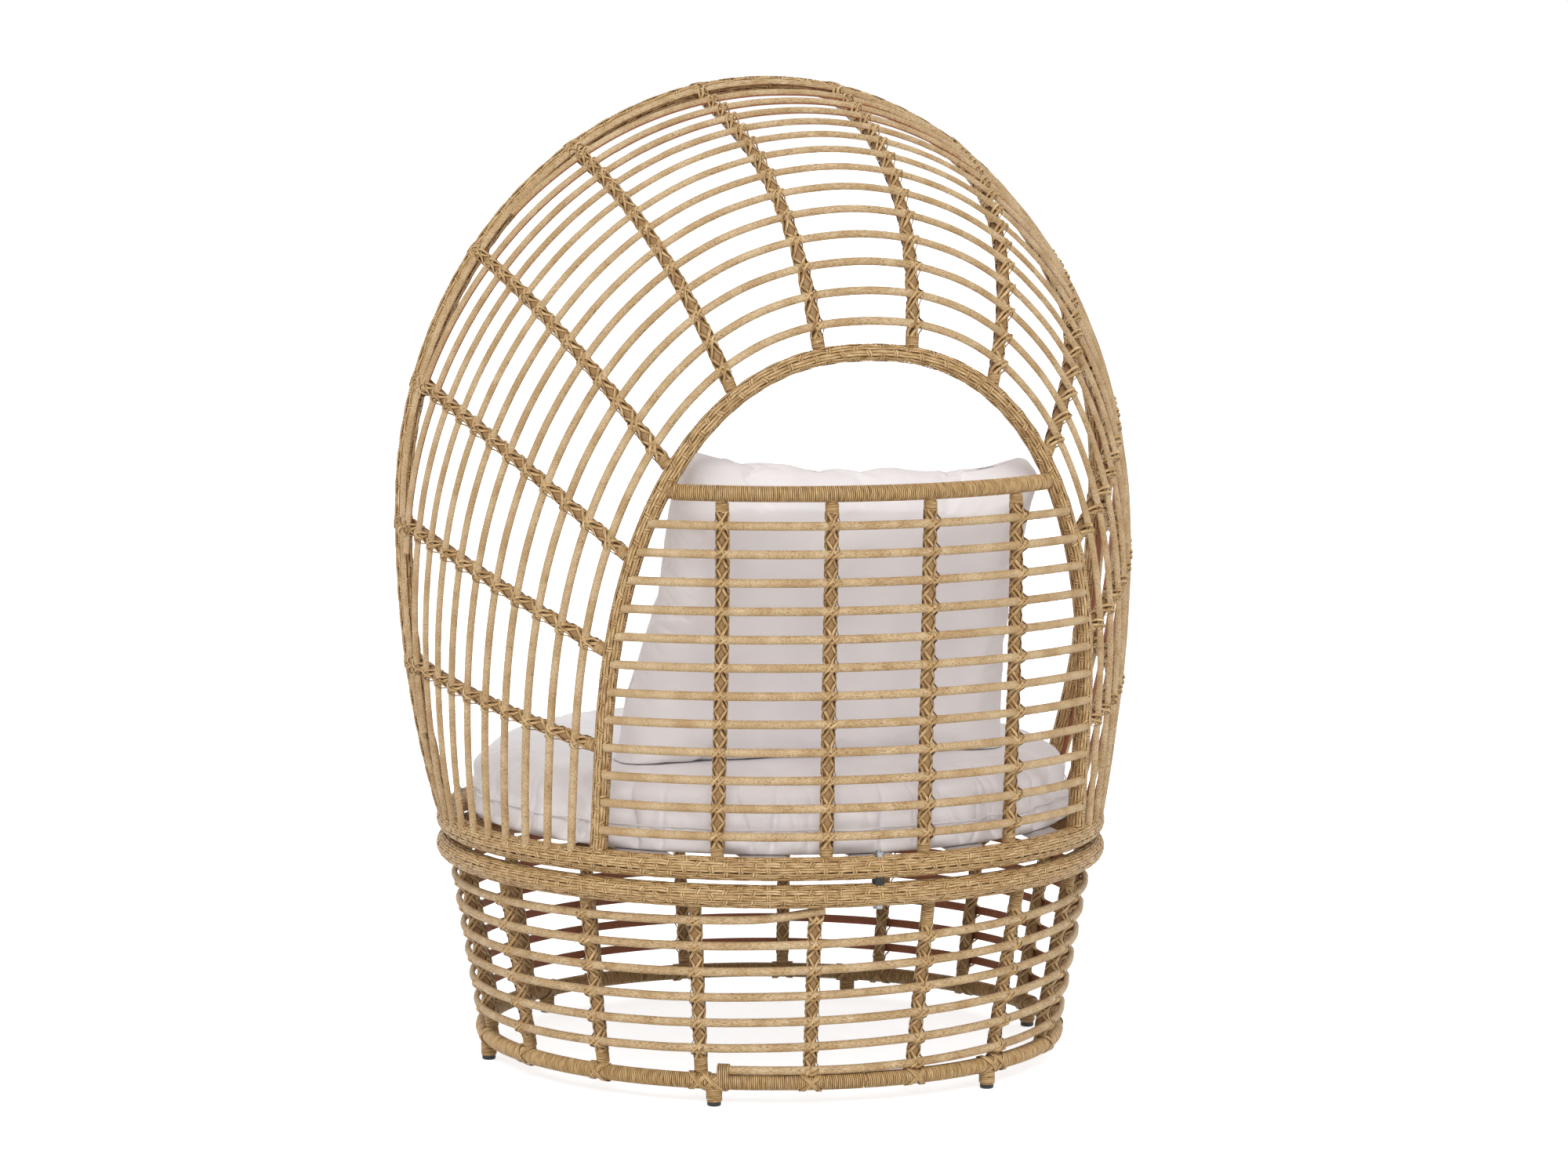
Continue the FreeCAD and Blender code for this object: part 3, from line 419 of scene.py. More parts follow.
class Bundle:
    """Strips that become one mesh, each with its own lane in the UV map."""

    def __init__(self):
        self.verts, self.faces, self.places, self.count, self.strips = [], [], [], 0, 0

    def strip(self, centre, outward, width, height, profile=DOUBLE, loop=False):
        """One strip along the given places, facing outward; loop joins its two ends."""
        centre = np.asarray(centre, float)
        shape = np.asarray(profile)
        skin = strip_skin(centre, outward, width, height, shape, loop)
        rows, columns = len(centre), len(shape)
        steps = np.linalg.norm(np.diff(centre, axis=0), axis=1)
        run = np.concatenate([[0], np.cumsum(steps)])
        wide, middle = DOUBLE_LANE if profile is DOUBLE else SINGLE_LANE
        lane = self.strips + (shape[:, 0] * wide + middle)
        last = rows if loop else rows - 1
        i, j = np.meshgrid(np.arange(last), np.arange(columns), indexing="ij")
        after, beside = (i + 1) % rows, (j + 1) % columns
        quads = np.stack([i * columns + j, after * columns + j,
                          after * columns + beside, i * columns + beside], axis=-1).reshape(-1, 4)
        end_run = run[-1] + steps[0] if loop else None
        run_i = run[i]
        run_after = np.where(after == 0, end_run, run[after]) if loop else run[after]
        corners = np.stack([np.stack([run_i, lane[j]], -1), np.stack([run_after, lane[j]], -1),
                            np.stack([run_after, lane[beside]], -1), np.stack([run_i, lane[beside]], -1)],
                           axis=2).reshape(-1, 4, 2)
        self.faces += [list(q) for q in quads + self.count]
        self.places += list(corners.reshape(-1, 2))
        if not loop:
            first = [self.count + c for c in range(columns)]
            final = [self.count + (rows - 1) * columns + c for c in range(columns)][::-1]
            for face, at in ((first, run[0]), (final, run[-1])):
                self.faces.append(face)
                self.places += [np.array((at, lane[columns // 2]))] * columns
        self.verts.append(skin.reshape(-1, 3))
        self.count += rows * columns
        self.strips += 1

    def finish(self, name, body, stands_for=()):
        """Makes the mesh, smooths it, gives it its finish and ties it to its body."""
        mesh = bpy.data.meshes.new(name)
        mesh.from_pydata(np.vstack(self.verts).tolist(), [], [[int(v) for v in f] for f in self.faces])
        layer = mesh.uv_layers.new(name="strip")
        layer.data.foreach_set("uv", np.asarray(self.places, np.float32).ravel())
        mesh.update()
        piece = bpy.data.objects.new(name, mesh)
        bpy.context.scene.collection.objects.link(piece)
        bpy.ops.object.select_all(action="DESELECT")
        piece.select_set(True)
        bpy.context.view_layer.objects.active = piece
        bpy.ops.object.shade_smooth_by_angle(angle=SMOOTH_ANGLE)
        piece.select_set(False)
        paint(piece, weave_strip)
        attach(piece, body)
        if stands_for:
            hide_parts(*stands_for)
        print(name, self.strips, "strips", sum(len(p.vertices) - 2 for p in mesh.polygons), "triangles")
        return piece


print("a Bundle starts with", Bundle().strips, "strips")

# %% [markdown]
# ## The sizes of the frame
# A few sizes of the real chair place every route: the ring, the two hoops, the ribs and the base.
# They are metres, and the angles of the legs are degrees from the back of the chair.

# %% Sizes
RING_RADIUS = 0.480
RING_STEEL = 0.0125             # radius of the rings' steel tube
RING_OUTER = 0.0151             # and of the CAD model's sleeve round it
RING_SPACING = 0.009            # between the CAD model's two sleeves
BASE_RING_Z = 0.312
HOOD_RING_Z = BASE_RING_Z + 2 * RING_OUTER + RING_SPACING
HOOP_STEEL = 0.010
HOOP_OUTER = 0.0124
HOOP_HALF_WIDTH = 0.544
HOOP_BELLY = 0.479              # height of its widest place above the ring
HOOP_RISE = 0.603               # and from there to the crown
HOOP_FOOT_Y = -0.093
HOOP_LEAN = 0.045
ARCH_FOOT_Y = 0.315
ARCH_LEAN = 0.14
ARCH_SPRING = 0.155
ARCH_RISE = 0.566
ARCH_FULLNESS = 2.3
CROWN_BULGE = 0.272
CROWN_SHIFT = 0.04
SHIFT_POWER = 0.8
RIB_RADIUS = 0.008
RIB_PITCH = 0.2077              # along the hoop
RIB_PAIRS = 6
RIB_INSET = 0.005
CANE_WIDTH = 0.012
CANE_THICKNESS = 0.0075
BIND_GAP = 0.001                # room for the strips that bind a cane to its tube
CANE_TOP = RIB_RADIUS + BIND_GAP + CANE_THICKNESS      # above the centre of the tube it crosses
HOOD_CANE_PITCH = 0.0427
HOOD_CANES = 14
PANEL_LEAN = 0.03
PANEL_OFFSET = 0.008
PANEL_FIRST = 0.046
PANEL_PITCH = 0.040
PANEL_CANES = 12
RAIL_ABOVE = 0.044              # from the last cane to the rail
RAIL_RISE = PANEL_FIRST + PANEL_PITCH * (PANEL_CANES - 1) + RAIL_ABOVE
RAIL_STEEL = 0.010
BACK_POSTS = 4
BACK_POST_PITCH = 0.146
FLOOR_RADIUS = 0.427
FLOOR_Z = 0.035
FLOOR_STEEL = 0.010
FLOOR_OUTER = 0.0121
BASE_POSTS = 17
BASE_POST_TOP = RING_RADIUS - 0.014
BASE_POST_FOOT = FLOOR_RADIUS - 0.009
LEG_ANGLES = [side * angle for angle in (29.0, 94.4, 145.0) for side in (1, -1)]
print("hood ring at", round(HOOD_RING_Z, 4), "m and rail at", round(HOOD_RING_Z + RAIL_RISE, 4), "m")

# %% [markdown]
# ## Ring, hoop and arch lines
# The two rings and the floor ring are circles. The front hoop is two half ellipses that meet at
# its widest place, and the back arch has straight legs and a squarer curve over them. Both are
# kept as half outlines from crown to foot, which the ribs are shared out along.

# %% Outlines
OUTLINE_STEPS = 240             # points on half a bent tube's centre line
ARCH_LEG_POINTS = 24


class Outline:
    """A line read by the share of its length."""

    def __init__(self, points):
        self.points = np.asarray(points, float)
        self.marks = np.concatenate([[0], np.cumsum(np.linalg.norm(np.diff(self.points, axis=0), axis=1))])
        self.length = self.marks[-1]

    def at(self, share):
        """The place at a share of the length, from 0 at the crown to 1 at the foot."""
        return np.array([np.interp(share * self.length, self.marks, self.points[:, i]) for i in range(3)])


def hoop_outline():
    """Half the front hoop, from crown to foot: two quarter ellipses, the lower one cut by the ring."""
    foot_x = math.sqrt(RING_RADIUS ** 2 - HOOP_FOOT_Y ** 2)
    lower = HOOP_BELLY / math.sqrt(1 - (foot_x / HOOP_HALF_WIDTH) ** 2)
    angle = np.linspace(0, math.pi / 2 + math.asin(HOOP_BELLY / lower), OUTLINE_STEPS + 1)
    rise = HOOP_BELLY + np.where(angle < math.pi / 2, HOOP_RISE, lower) * np.cos(angle)
    return Outline(np.stack([HOOP_HALF_WIDTH * np.sin(angle), HOOP_FOOT_Y + HOOP_LEAN * rise,
                             HOOD_RING_Z + rise], axis=-1))


def arch_half_width(rise):
    """How far the back arch stands from the middle, at a height above the ring."""
    half = math.sqrt(RING_RADIUS ** 2 - ARCH_FOOT_Y ** 2)
    share = np.clip((rise - ARCH_SPRING) / ARCH_RISE, 0, 1)
    return half * (1 - share ** ARCH_FULLNESS) ** (1 / ARCH_FULLNESS)


def arch_outline():
    """Half the back arch, from crown to foot: a squarish curve over a straight leg."""
    rise = ARCH_SPRING + ARCH_RISE * np.cos(np.linspace(0, math.pi / 2, OUTLINE_STEPS + 1))
    rise = np.append(rise, np.linspace(ARCH_SPRING, 0, ARCH_LEG_POINTS)[1:])
    return Outline(np.stack([arch_half_width(rise), ARCH_FOOT_Y + ARCH_LEAN * rise,
                             HOOD_RING_Z + rise], axis=-1))


HOOP = hoop_outline()
ARCH = arch_outline()
print("half the hoop is", round(HOOP.length, 3), "m and half the arch", round(ARCH.length, 3), "m")

# %% [markdown]
# A whole hoop is its half outline and the mirrored half. Outward is away from a point inside the
# hoop, level with its plane. A ring is a closed route, and starts at the back of the chair.

# %% Hoop and ring routes
HOOP_POINTS = 600
HOOP_SPARE = 0.017              # the sleeve stops this far from each foot, clear of the ring's own
HOOP_MIDDLE = 0.6               # of the hoop's height: what outward is away from


def whole(outline, spare):
    """The route of a whole hoop from foot to foot; spare is left free at each foot."""
    shares = np.linspace(-1, 1, HOOP_POINTS) * (1 - spare / outline.length)
    points = np.array([outline.at(abs(share)) * (math.copysign(1, share), 1, 1) for share in shares])
    middle = np.array([0, 0, HOOD_RING_Z + HOOP_MIDDLE * (points[:, 2].max() - HOOD_RING_Z)])
    away = points - middle
    along = unit(np.gradient(points, axis=0))
    flat = np.cross(along, np.cross(away, along))
    flat[:, 1] = 0
    return Route(points, flat)


def circle(radius, z, count=720):
    """A level ring's route."""
    angle = np.linspace(0, 2 * math.pi, count + 1)
    way = np.stack([np.sin(angle), np.cos(angle), np.zeros_like(angle)], axis=-1)
    return Route(way * radius + (0, 0, z), way, closed=True)


def spoke(degrees):
    """The level direction at an angle from the back of the chair."""
    angle = math.radians(degrees)
    return np.array([math.sin(angle), math.cos(angle), 0.0])


hoop_route = whole(HOOP, HOOP_SPARE)
arch_route = whole(ARCH, HOOP_SPARE)
seat_ring_route = circle(RING_RADIUS, HOOD_RING_Z)
base_ring_route = circle(RING_RADIUS, BASE_RING_Z)
floor_ring_route = circle(FLOOR_RADIUS, FLOOR_Z)
print("hoop", round(hoop_route.length, 3), "arch", round(arch_route.length, 3))

# %% [markdown]
# ## The woven sleeves
# The rings, the front hoop and the back arch wear a sleeve in plain weave: long strips lie along
# the tube, and double strips go round it, over one long strip and under the next. From one round
# strip to the next the two swap, which gives the brick pattern of short bars. Each long strip
# dips only where a round strip crosses over it. A seeded bit of unevenness keeps it handmade.

# %% Woven sleeve
WEFT_PITCH = 0.0195             # a round strip every 19.5 mm
WEFT_WIDTH = 0.0080
WARP_FILL = 0.93                # a long strip fills this much of its share of the round
DIP_LENGTH = 0.0062             # and dips this far to either side of a crossing
SQUARENESS = 2.2                # how suddenly a round strip changes between over and under
WARP_SPREAD = 0.012             # radians by which long strips miss their even places,
WARP_WANDER = 0.02              # and by which each wanders on its way
WEFT_SPREAD = 0.0006            # round strips miss theirs by this much,
WEFT_SLANT = (0.0012, 0.0009)   # and slant by this much: the usual amount, and its spread
STRIP_THICKNESS = 0.0012
LAY_GAP = 0.0001                # air between the steel and the first strip
RING_PADDING = 0.0016           # the rings' weave stands this much further out, as on a thick ring
RING_PADDED = RING_STEEL + RING_PADDING


def sleeve(route, steel, warps, seed):
    """Plain weave on a route: warps long strips and a round strip at every pitch."""
    chance = np.random.RandomState(seed)
    bundle = Bundle()
    stations = 2 * round(route.length / WEFT_PITCH / 2)
    pitch = route.length / stations
    low = steel + LAY_GAP
    high = low + STRIP_THICKNESS * 1.05
    warp_width = 2 * math.pi * (high + STRIP_THICKNESS / 2) / warps * WARP_FILL
    steps = np.linspace(0, route.length, stations * 4 + 1)
    if route.closed:
        steps = steps[:-1]
    for warp in range(warps):
        place = (steps / pitch + warp) % 2
        gap = np.minimum(place, 2 - place) * pitch
        dip = 1 / (1 + (gap / DIP_LENGTH) ** 6)
        wander = WARP_WANDER * np.sin(steps * 37 + warp * 2)
        angle = 2 * math.pi * warp / warps + chance.normal(0, WARP_SPREAD) + wander
        centre, outward = route.lay(steps, angle, high - (high - low) * dip)
        bundle.strip(centre, outward, warp_width, STRIP_THICKNESS, loop=route.closed)
    around = np.linspace(0, 2 * math.pi, warps * 3 + 1)[:-1]
    for station in range(stations if route.closed else stations + 1):
        wave = np.cos(warps / 2 * around + math.pi * station)
        lift = 0.5 + 0.5 * np.tanh(SQUARENESS * wave) / math.tanh(SQUARENESS)
        slant = chance.normal(*WEFT_SLANT)
        middle = station * pitch + chance.normal(0, WEFT_SPREAD)
        s = np.clip(middle + slant * np.sin(around * warps / 2), 0, None if route.closed else route.length)
        centre, outward = route.lay(s, around, low + (high - low) * 1.02 * lift)
        bundle.strip(centre, outward, WEFT_WIDTH, STRIP_THICKNESS, loop=True)
    return bundle


sleeve(seat_ring_route, RING_PADDED, 12, 1).finish("seat_ring_weaving", "frame", ["hood_seat_ring_weave"])
sleeve(base_ring_route, RING_PADDED, 12, 2).finish("base_ring_weaving", "frame", ["base_ring_weave"])
sleeve(hoop_route, HOOP_STEEL, 8, 3).finish("front_hoop_weaving", "frame", ["front_hoop_weave"])
sleeve(arch_route, HOOP_STEEL, 8, 4).finish("back_arch_weaving", "frame", ["back_arch_weave"])

# %% [markdown]
# ## Coils
# The rail, the floor ring, the legs and the ends of every post are simply wound with one strip,
# turn beside turn, and so is each rib's end at the arch. Such a coil is a strip laid along a helix.

# %% Coils
COIL_PITCH = 0.0029
COIL_FILL = 0.97                # of the pitch is strip, and the rest is the gap between turns
COIL_THICKNESS = 0.0017
THIN_COIL = 0.0016              # where crossed strips lie over it, and on the cane's lashing


def coil(bundle, route, start, end, steel, thickness=COIL_THICKNESS, turn_points=12):
    """Winds one strip on a route from start to end, in metres along it."""
    turns = max(1, round((end - start) / COIL_PITCH))
    t = np.linspace(0, turns, turns * turn_points + 1)
    half = COIL_PITCH / 2
    s = start + half + (end - start - 2 * half) * t / turns
    centre, outward = route.lay(s, 2 * math.pi * t, steel + LAY_GAP)
    bundle.strip(centre, outward, COIL_PITCH * COIL_FILL, thickness, profile=SINGLE)


floor_coil = Bundle()
coil(floor_coil, floor_ring_route, 0, floor_ring_route.length, FLOOR_STEEL)
floor_coil.finish("floor_ring_winding", "frame", ["floor_ring_wrap"])

# %% [markdown]
# ## The rail
# The back panel bows outwards, less the higher it goes, so each of its rows is an arc of a circle
# from one leg of the arch to the other. The rail is the top row, and it is coiled from end to end.

# %% Rail
RAIL_SPARE = 0.0115             # the winding stops this far from the ends, inside the arch's sleeve


def panel_arc(rise):
    """Centre and radius of the back panel's bow at a height above the seat ring."""
    end_x = arch_half_width(rise)
    end_y = ARCH_FOOT_Y + ARCH_LEAN * rise + PANEL_OFFSET
    middle_y = RING_RADIUS + PANEL_LEAN * rise
    radius = (end_x ** 2 + (middle_y - end_y) ** 2) / (2 * (middle_y - end_y))
    return middle_y - radius, radius, math.asin(end_x / radius)


def rail_route():
    """The rail's centre line, just inside the panel's bow."""
    centre_y, radius, reach = panel_arc(RAIL_RISE)
    angle = np.linspace(reach, -reach, 80)
    way = np.stack([np.sin(angle), np.cos(angle), np.zeros_like(angle)], axis=-1)
    return Route(way * (radius - RIB_RADIUS) + (0, centre_y, HOOD_RING_Z + RAIL_RISE), way)


rail = rail_route()
rail_coil = Bundle()
coil(rail_coil, rail, RAIL_SPARE, rail.length - RAIL_SPARE, RAIL_STEEL)
rail_coil.finish("back_rail_winding", "frame", ["back_rail_wrap"])

# %% [markdown]
# ## The hood's surface
# The hood is a family of curves from the arch to the hoop. Each bends once, towards a control
# point that is shifted along it and pushed out of it. Both amounts change from crown to foot, and
# at the foot they are worked out so that the surface meets the seat ring along the ring itself.

# %% Hood surface
CURVE_POINTS = 41


def foot_values():
    """Shift and bulge that make the hood's surface meet the seat ring along the ring itself."""
    a, b = ARCH.at(1), HOOP.at(1)
    middle = unit(np.array([a[0] + b[0], a[1] + b[1], 0.0]))
    half = math.acos(np.dot(unit(np.array([a[0], a[1], 0.0])), middle))
    control = middle * RING_RADIUS / math.cos(half)
    shift = (control[1] - a[1]) / (b[1] - a[1])
    return shift, control[0] - a[0] - shift * (b[0] - a[0])


FOOT_SHIFT, FOOT_BULGE = foot_values()


def rib_line(share):
    """The hood surface from arch to hoop, at a signed share of the way from crown to foot."""
    size = abs(share)
    a, b = ARCH.at(size), HOOP.at(size)
    shift = CROWN_SHIFT + (FOOT_SHIFT - CROWN_SHIFT) * size ** SHIFT_POWER
    bulge = FOOT_BULGE + (CROWN_BULGE - FOOT_BULGE) * (1 - size) ** 2
    tilt = math.pi / 2 * size
    control = a + (b - a) * shift + np.array([math.sin(tilt), 0, math.cos(tilt)]) * bulge
    s = np.linspace(0, 1, CURVE_POINTS)[:, None]
    points = a * (1 - s) ** 2 + control * (2 * s * (1 - s)) + b * s ** 2
    return Outline(points * (math.copysign(1, share), 1, 1))


print("at the foot: shift", round(FOOT_SHIFT, 3), "and bulge", round(FOOT_BULGE, 3), "m")

# %% [markdown]
# ## The ribs, and where the canes cross them
# A rib lies just inside the surface, so its route needs the surface's normal: the cross product of
# a step along the rib and a step to the ribs beside it. The canes cross it at an even pitch, except
# for the last, which lies snug against the hoop.

# %% Ribs
RIB_POINTS = 60
STEP_BESIDE = 0.004             # steps for the normal, as shares of the hoop and of the rib
STEP_ALONG = 0.01
RIB_SHARES = [side * (pair + 0.5) * RIB_PITCH / HOOP.length for pair in range(RIB_PAIRS) for side in (1, -1)]


def rib_route(share):
    """A rib's route with the hood's outward direction, and where the canes cross it."""
    line = rib_line(share)
    before, after = rib_line(share - STEP_BESIDE), rib_line(share + STEP_BESIDE)
    points, normals = [], []
    for distance in np.linspace(0, line.length, RIB_POINTS):
        at = distance / line.length
        along = line.at(min(1, at + STEP_ALONG)) - line.at(max(0, at - STEP_ALONG))
        across = after.at(distance / after.length) - before.at(distance / before.length)
        normal = unit(np.cross(along, across))
        if np.dot(normal, line.at(at) - (0, 0, HOOD_RING_Z)) < 0:
            normal = -normal
        points.append(line.at(at) - normal * RIB_INSET)
        normals.append(normal)
    route = Route(points, normals)
    snug = line.length - HOOP_OUTER - CANE_WIDTH / 2
    crossings = [d for d in HOOD_CANE_PITCH * np.arange(1, HOOD_CANES) if d < snug - CANE_WIDTH] + [snug]
    return route, np.array(crossings) * route.length / line.length


ribs = [rib_route(share) for share in RIB_SHARES]
print("canes over each rib", [len(crossings) for route, crossings in ribs])

# %% [markdown]
# ## The back posts
# The back posts stand side by side between the seat ring and the rail, and follow the panel's bow
# at their own distance from the middle. The rows of the panel cross them at an even pitch.

# %% Back posts
POST_POINTS = 40


def back_post_route(number):
    """A back post's route, and where the rows of the panel cross it."""
    x = (number - (BACK_POSTS - 1) / 2) * BACK_POST_PITCH
    rise = np.linspace(0, RAIL_RISE, POST_POINTS)
    points, outs = [], []
    for r in rise:
        centre_y, radius, reach = panel_arc(r)
        depth = radius - RIB_RADIUS - BIND_GAP
        y = centre_y + math.sqrt(depth ** 2 - x ** 2)
        points.append((x, y, HOOD_RING_Z + r))
        outs.append((x, y - centre_y, 0))
    route = Route(points, outs)
    crossings = np.interp(PANEL_FIRST + PANEL_PITCH * np.arange(PANEL_CANES), rise, route.marks)
    return route, crossings


back_posts = [back_post_route(number) for number in range(BACK_POSTS)]
print("canes over each back post", [len(crossings) for route, crossings in back_posts])

# %% [markdown]
# ## The base posts
# One long cane climbs round the base from the floor ring to the upper ring, a little over six
# times. A post is crossed once in every lap, at the height the cane has reached by then. Every lap
# runs a little high on one side of the chair and low on the other, and stays between the rings.

# %% Base posts
CANE_START = 26.0               # degrees from the back of the chair
CANE_LAPS = 6
CANE_SWEEP = CANE_LAPS * 360 + 17.0
CANE_CLEARANCE = 0.0001
CANE_LOW = FLOOR_Z + FLOOR_OUTER + CANE_WIDTH / 2 + CANE_CLEARANCE
CANE_HIGH = BASE_RING_Z - RING_OUTER - CANE_WIDTH / 2 - CANE_CLEARANCE
CANE_SWAY = 0.008               # a lap is this much high on one side and low on the other
CANE_HIGH_SIDE = -110.0         # degrees from the back of the chair
BASE_POST_POINTS = 30


def base_post_route(number):
    """A base post's route, and where the laps of the long cane cross it."""
    degrees = (number + 0.5) * 360 / BASE_POSTS
    way = spoke(degrees)
    foot = way * BASE_POST_FOOT + (0, 0, FLOOR_Z)
    head = way * BASE_POST_TOP + (0, 0, BASE_RING_Z)
    points = foot + np.linspace(0, 1, BASE_POST_POINTS)[:, None] * (head - foot)
    route = Route(points, np.tile(way, (BASE_POST_POINTS, 1)))
    heights = []
    for lap in range(CANE_LAPS + 2):
        share = (CANE_START - degrees + 360 * lap) / CANE_SWEEP
        if 0 <= share <= 1:
            sway = CANE_SWAY * math.cos(math.radians(degrees - CANE_HIGH_SIDE))
            climb = CANE_LOW + (CANE_HIGH - CANE_SWAY - CANE_LOW) * share + sway
            heights.append(min(max(climb, CANE_LOW), CANE_HIGH))
    crossings = (np.array(heights) - FLOOR_Z) / (BASE_RING_Z - FLOOR_Z) * route.length
    return route, crossings


base_posts = [base_post_route(number) for number in range(BASE_POSTS)]
print("laps over each base post", [len(crossings) for route, crossings in base_posts])

# %% [markdown]
# ## Cross bindings
# Where a cane crosses a tube it is bound with two double strips that make an X over it. Between
# two canes the strips run down the sides of the tube, so the X shapes join into a row of
# diamonds, with the steel showing in them. Seen as lines on the tube, this is four helices: two
# wind to the right and two to the left, and each makes half a turn from one cane to the next.

# %% Cross binding
BINDING_WIDTH = 0.0051          # each of the two strips that lie side by side
BINDING_THICKNESS = 0.0012
BINDING_STEP = 0.0026           # a strip has a cross-section this often
BINDING_GAP = 0.0002            # between the tube and the strips,
CANE_GAP = 0.0003               # and between the canes and the strips
HAND_LIFT = 0.0008              # the strips that wind to the right lie over those that wind left
SHOULDER = 0.0068               # where a strip comes down from a cane's rounded top
CANE_REACH = 1.0                # radians round the tube, to either side, that a cane holds strips off


def cross_binding(bundle, route, crossings, start, end):
    """Binds the canes to a tube from start to end with four helices that cross over each cane."""
    knots = [start, *crossings, end]
    phase = [crossings[0] - start, *np.diff(crossings), end - crossings[-1]]
    typical = float(np.median(np.diff(crossings)))
    slope = math.atan2(2 * math.pi * RIB_RADIUS, 2 * typical)
    apart = BINDING_WIDTH / math.sin(slope)
    turn_at = np.concatenate([[-phase[0] / typical], np.arange(len(crossings)),
                              [len(crossings) - 1 + phase[-1] / typical]])
    steps = np.linspace(start, end, round((end - start) / BINDING_STEP))
    gap = np.min(np.abs(steps[:, None] - crossings[None, :]), axis=1)
    over_cane = np.exp(-(gap / SHOULDER) ** 2.4)
    reach = RIB_RADIUS + (CANE_TOP - RIB_RADIUS) * over_cane
    wound = np.concatenate([[0], np.cumsum(np.diff(steps) / reach[1:])])
    half_turns = np.interp(wound, np.interp(knots, steps, wound), turn_at)
    for hand in (1, -1):
        base = RIB_RADIUS + BINDING_GAP + (HAND_LIFT if hand > 0 else 0)
        for first in (0, 1):
            for beside in (-0.5, 0.5):
                turned = np.interp(steps - beside * apart, steps, half_turns)
                angle = hand * math.pi * (turned - first)
                off_front = np.abs((angle + math.pi) % (2 * math.pi) - math.pi)
                front = 1 / (1 + (off_front / CANE_REACH) ** 8)
                flat = 1 + (1 / np.maximum(np.cos(np.minimum(off_front, CANE_REACH)), 0.5) - 1) * over_cane
                top = (base + (CANE_TOP + CANE_GAP - RIB_RADIUS) * over_cane) * flat
                radius = base + (top - base) * front
                centre, outward = route.lay(steps, angle, radius)
                bundle.strip(centre, outward, BINDING_WIDTH, BINDING_THICKNESS, profile=SINGLE)


print("an X stands", round((CANE_TOP - RIB_RADIUS) * 1000, 1), "mm off the tube where it crosses a cane")

# %% [markdown]
# The crosses start a little before the first cane, and a short coil covers the end of the tube. At
# the hoop the ribs need no coil, because the crosses run on into the hoop's own sleeve.

# %% Hood rib binding
END_TURN_POINTS = 10            # points in a turn of the short coils
RIB_CROSS = 0.026               # from the arch's centre line to the first cross
RIB_CROSS_END = 0.010           # and from the last to the hoop's
RIB_COIL = (0.011, 0.030)       # where the coil starts and stops

hood_binding = Bundle()
for route, crossings in ribs:
    cross_binding(hood_binding, route, crossings, RIB_CROSS, route.length - RIB_CROSS_END)
    coil(hood_binding, route, *RIB_COIL, RIB_RADIUS, thickness=THIN_COIL, turn_points=END_TURN_POINTS)
hood_binding.finish("hood_rib_binding", "frame")

# %% [markdown]
# A back post has a coil at its foot and another between its last row and the rail.

# %% Back post binding
PANEL_CROSS = 0.028             # from the ring's centre line to the first cross
PANEL_CROSS_END = 0.018         # the crosses stop this far above the last row
PANEL_FOOT_COIL = (0.0145, 0.032)
PANEL_HEAD_COIL = 0.016         # above the last row the second coil starts,
PANEL_HEAD_SPARE = 0.0115       # and it stops at the rail's own winding

panel_binding = Bundle()
for route, crossings in back_posts:
    cross_binding(panel_binding, route, crossings, PANEL_CROSS, crossings[-1] + PANEL_CROSS_END)
    coil(panel_binding, route, *PANEL_FOOT_COIL, RIB_RADIUS, thickness=THIN_COIL, turn_points=END_TURN_POINTS)
    coil(panel_binding, route, crossings[-1] + PANEL_HEAD_COIL, route.length - PANEL_HEAD_SPARE, RIB_RADIUS,
         turn_points=END_TURN_POINTS)
panel_binding.finish("back_post_binding", "frame")

# %% [markdown]
# The long cane passes each base post at different heights, so the crosses and the coils of a base
# post are placed from its own first and last crossing, and kept clear of the two rings.

# %% Base post binding
POST_CROSS = 0.016              # the crosses reach this far past the first and the last lap,
POST_CROSS_LOW = 0.014          # but stay this far from the floor ring's centre line
POST_CROSS_HIGH = 0.016         # and from the upper ring's
POST_COIL = 0.010               # the coils reach to this far from the first and the last lap,
POST_COIL_LOW = (0.0115, 0.020)     # start and least end of the lower one, up from the floor ring
POST_COIL_HIGH = (0.024, 0.0145)    # and greatest start and end of the upper one, down from the top

post_binding = Bundle()
for route, crossings in base_posts:
    first, last, top = crossings[0], crossings[-1], route.length
    cross_binding(post_binding, route, crossings, max(first - POST_CROSS, POST_CROSS_LOW),
                  min(last + POST_CROSS, top - POST_CROSS_HIGH))
    coil(post_binding, route, POST_COIL_LOW[0], max(first - POST_COIL, POST_COIL_LOW[1]), RIB_RADIUS,
         turn_points=END_TURN_POINTS)
    coil(post_binding, route, min(last + POST_COIL, top - POST_COIL_HIGH[0]), top - POST_COIL_HIGH[1],
         RIB_RADIUS, turn_points=END_TURN_POINTS)
post_binding.finish("base_post_binding", "frame")

# %% [markdown]
# ## Legs
# Six short legs stand under the floor ring. Each is coiled too, down to its black glide.

# %% Leg windings
LEG_STEEL = 0.010
LEG_POINTS = 12
LEG_FOOT_Z = 0.0065             # where the winding ends, just above the glide
LEG_COIL = 0.021                # length that is wound

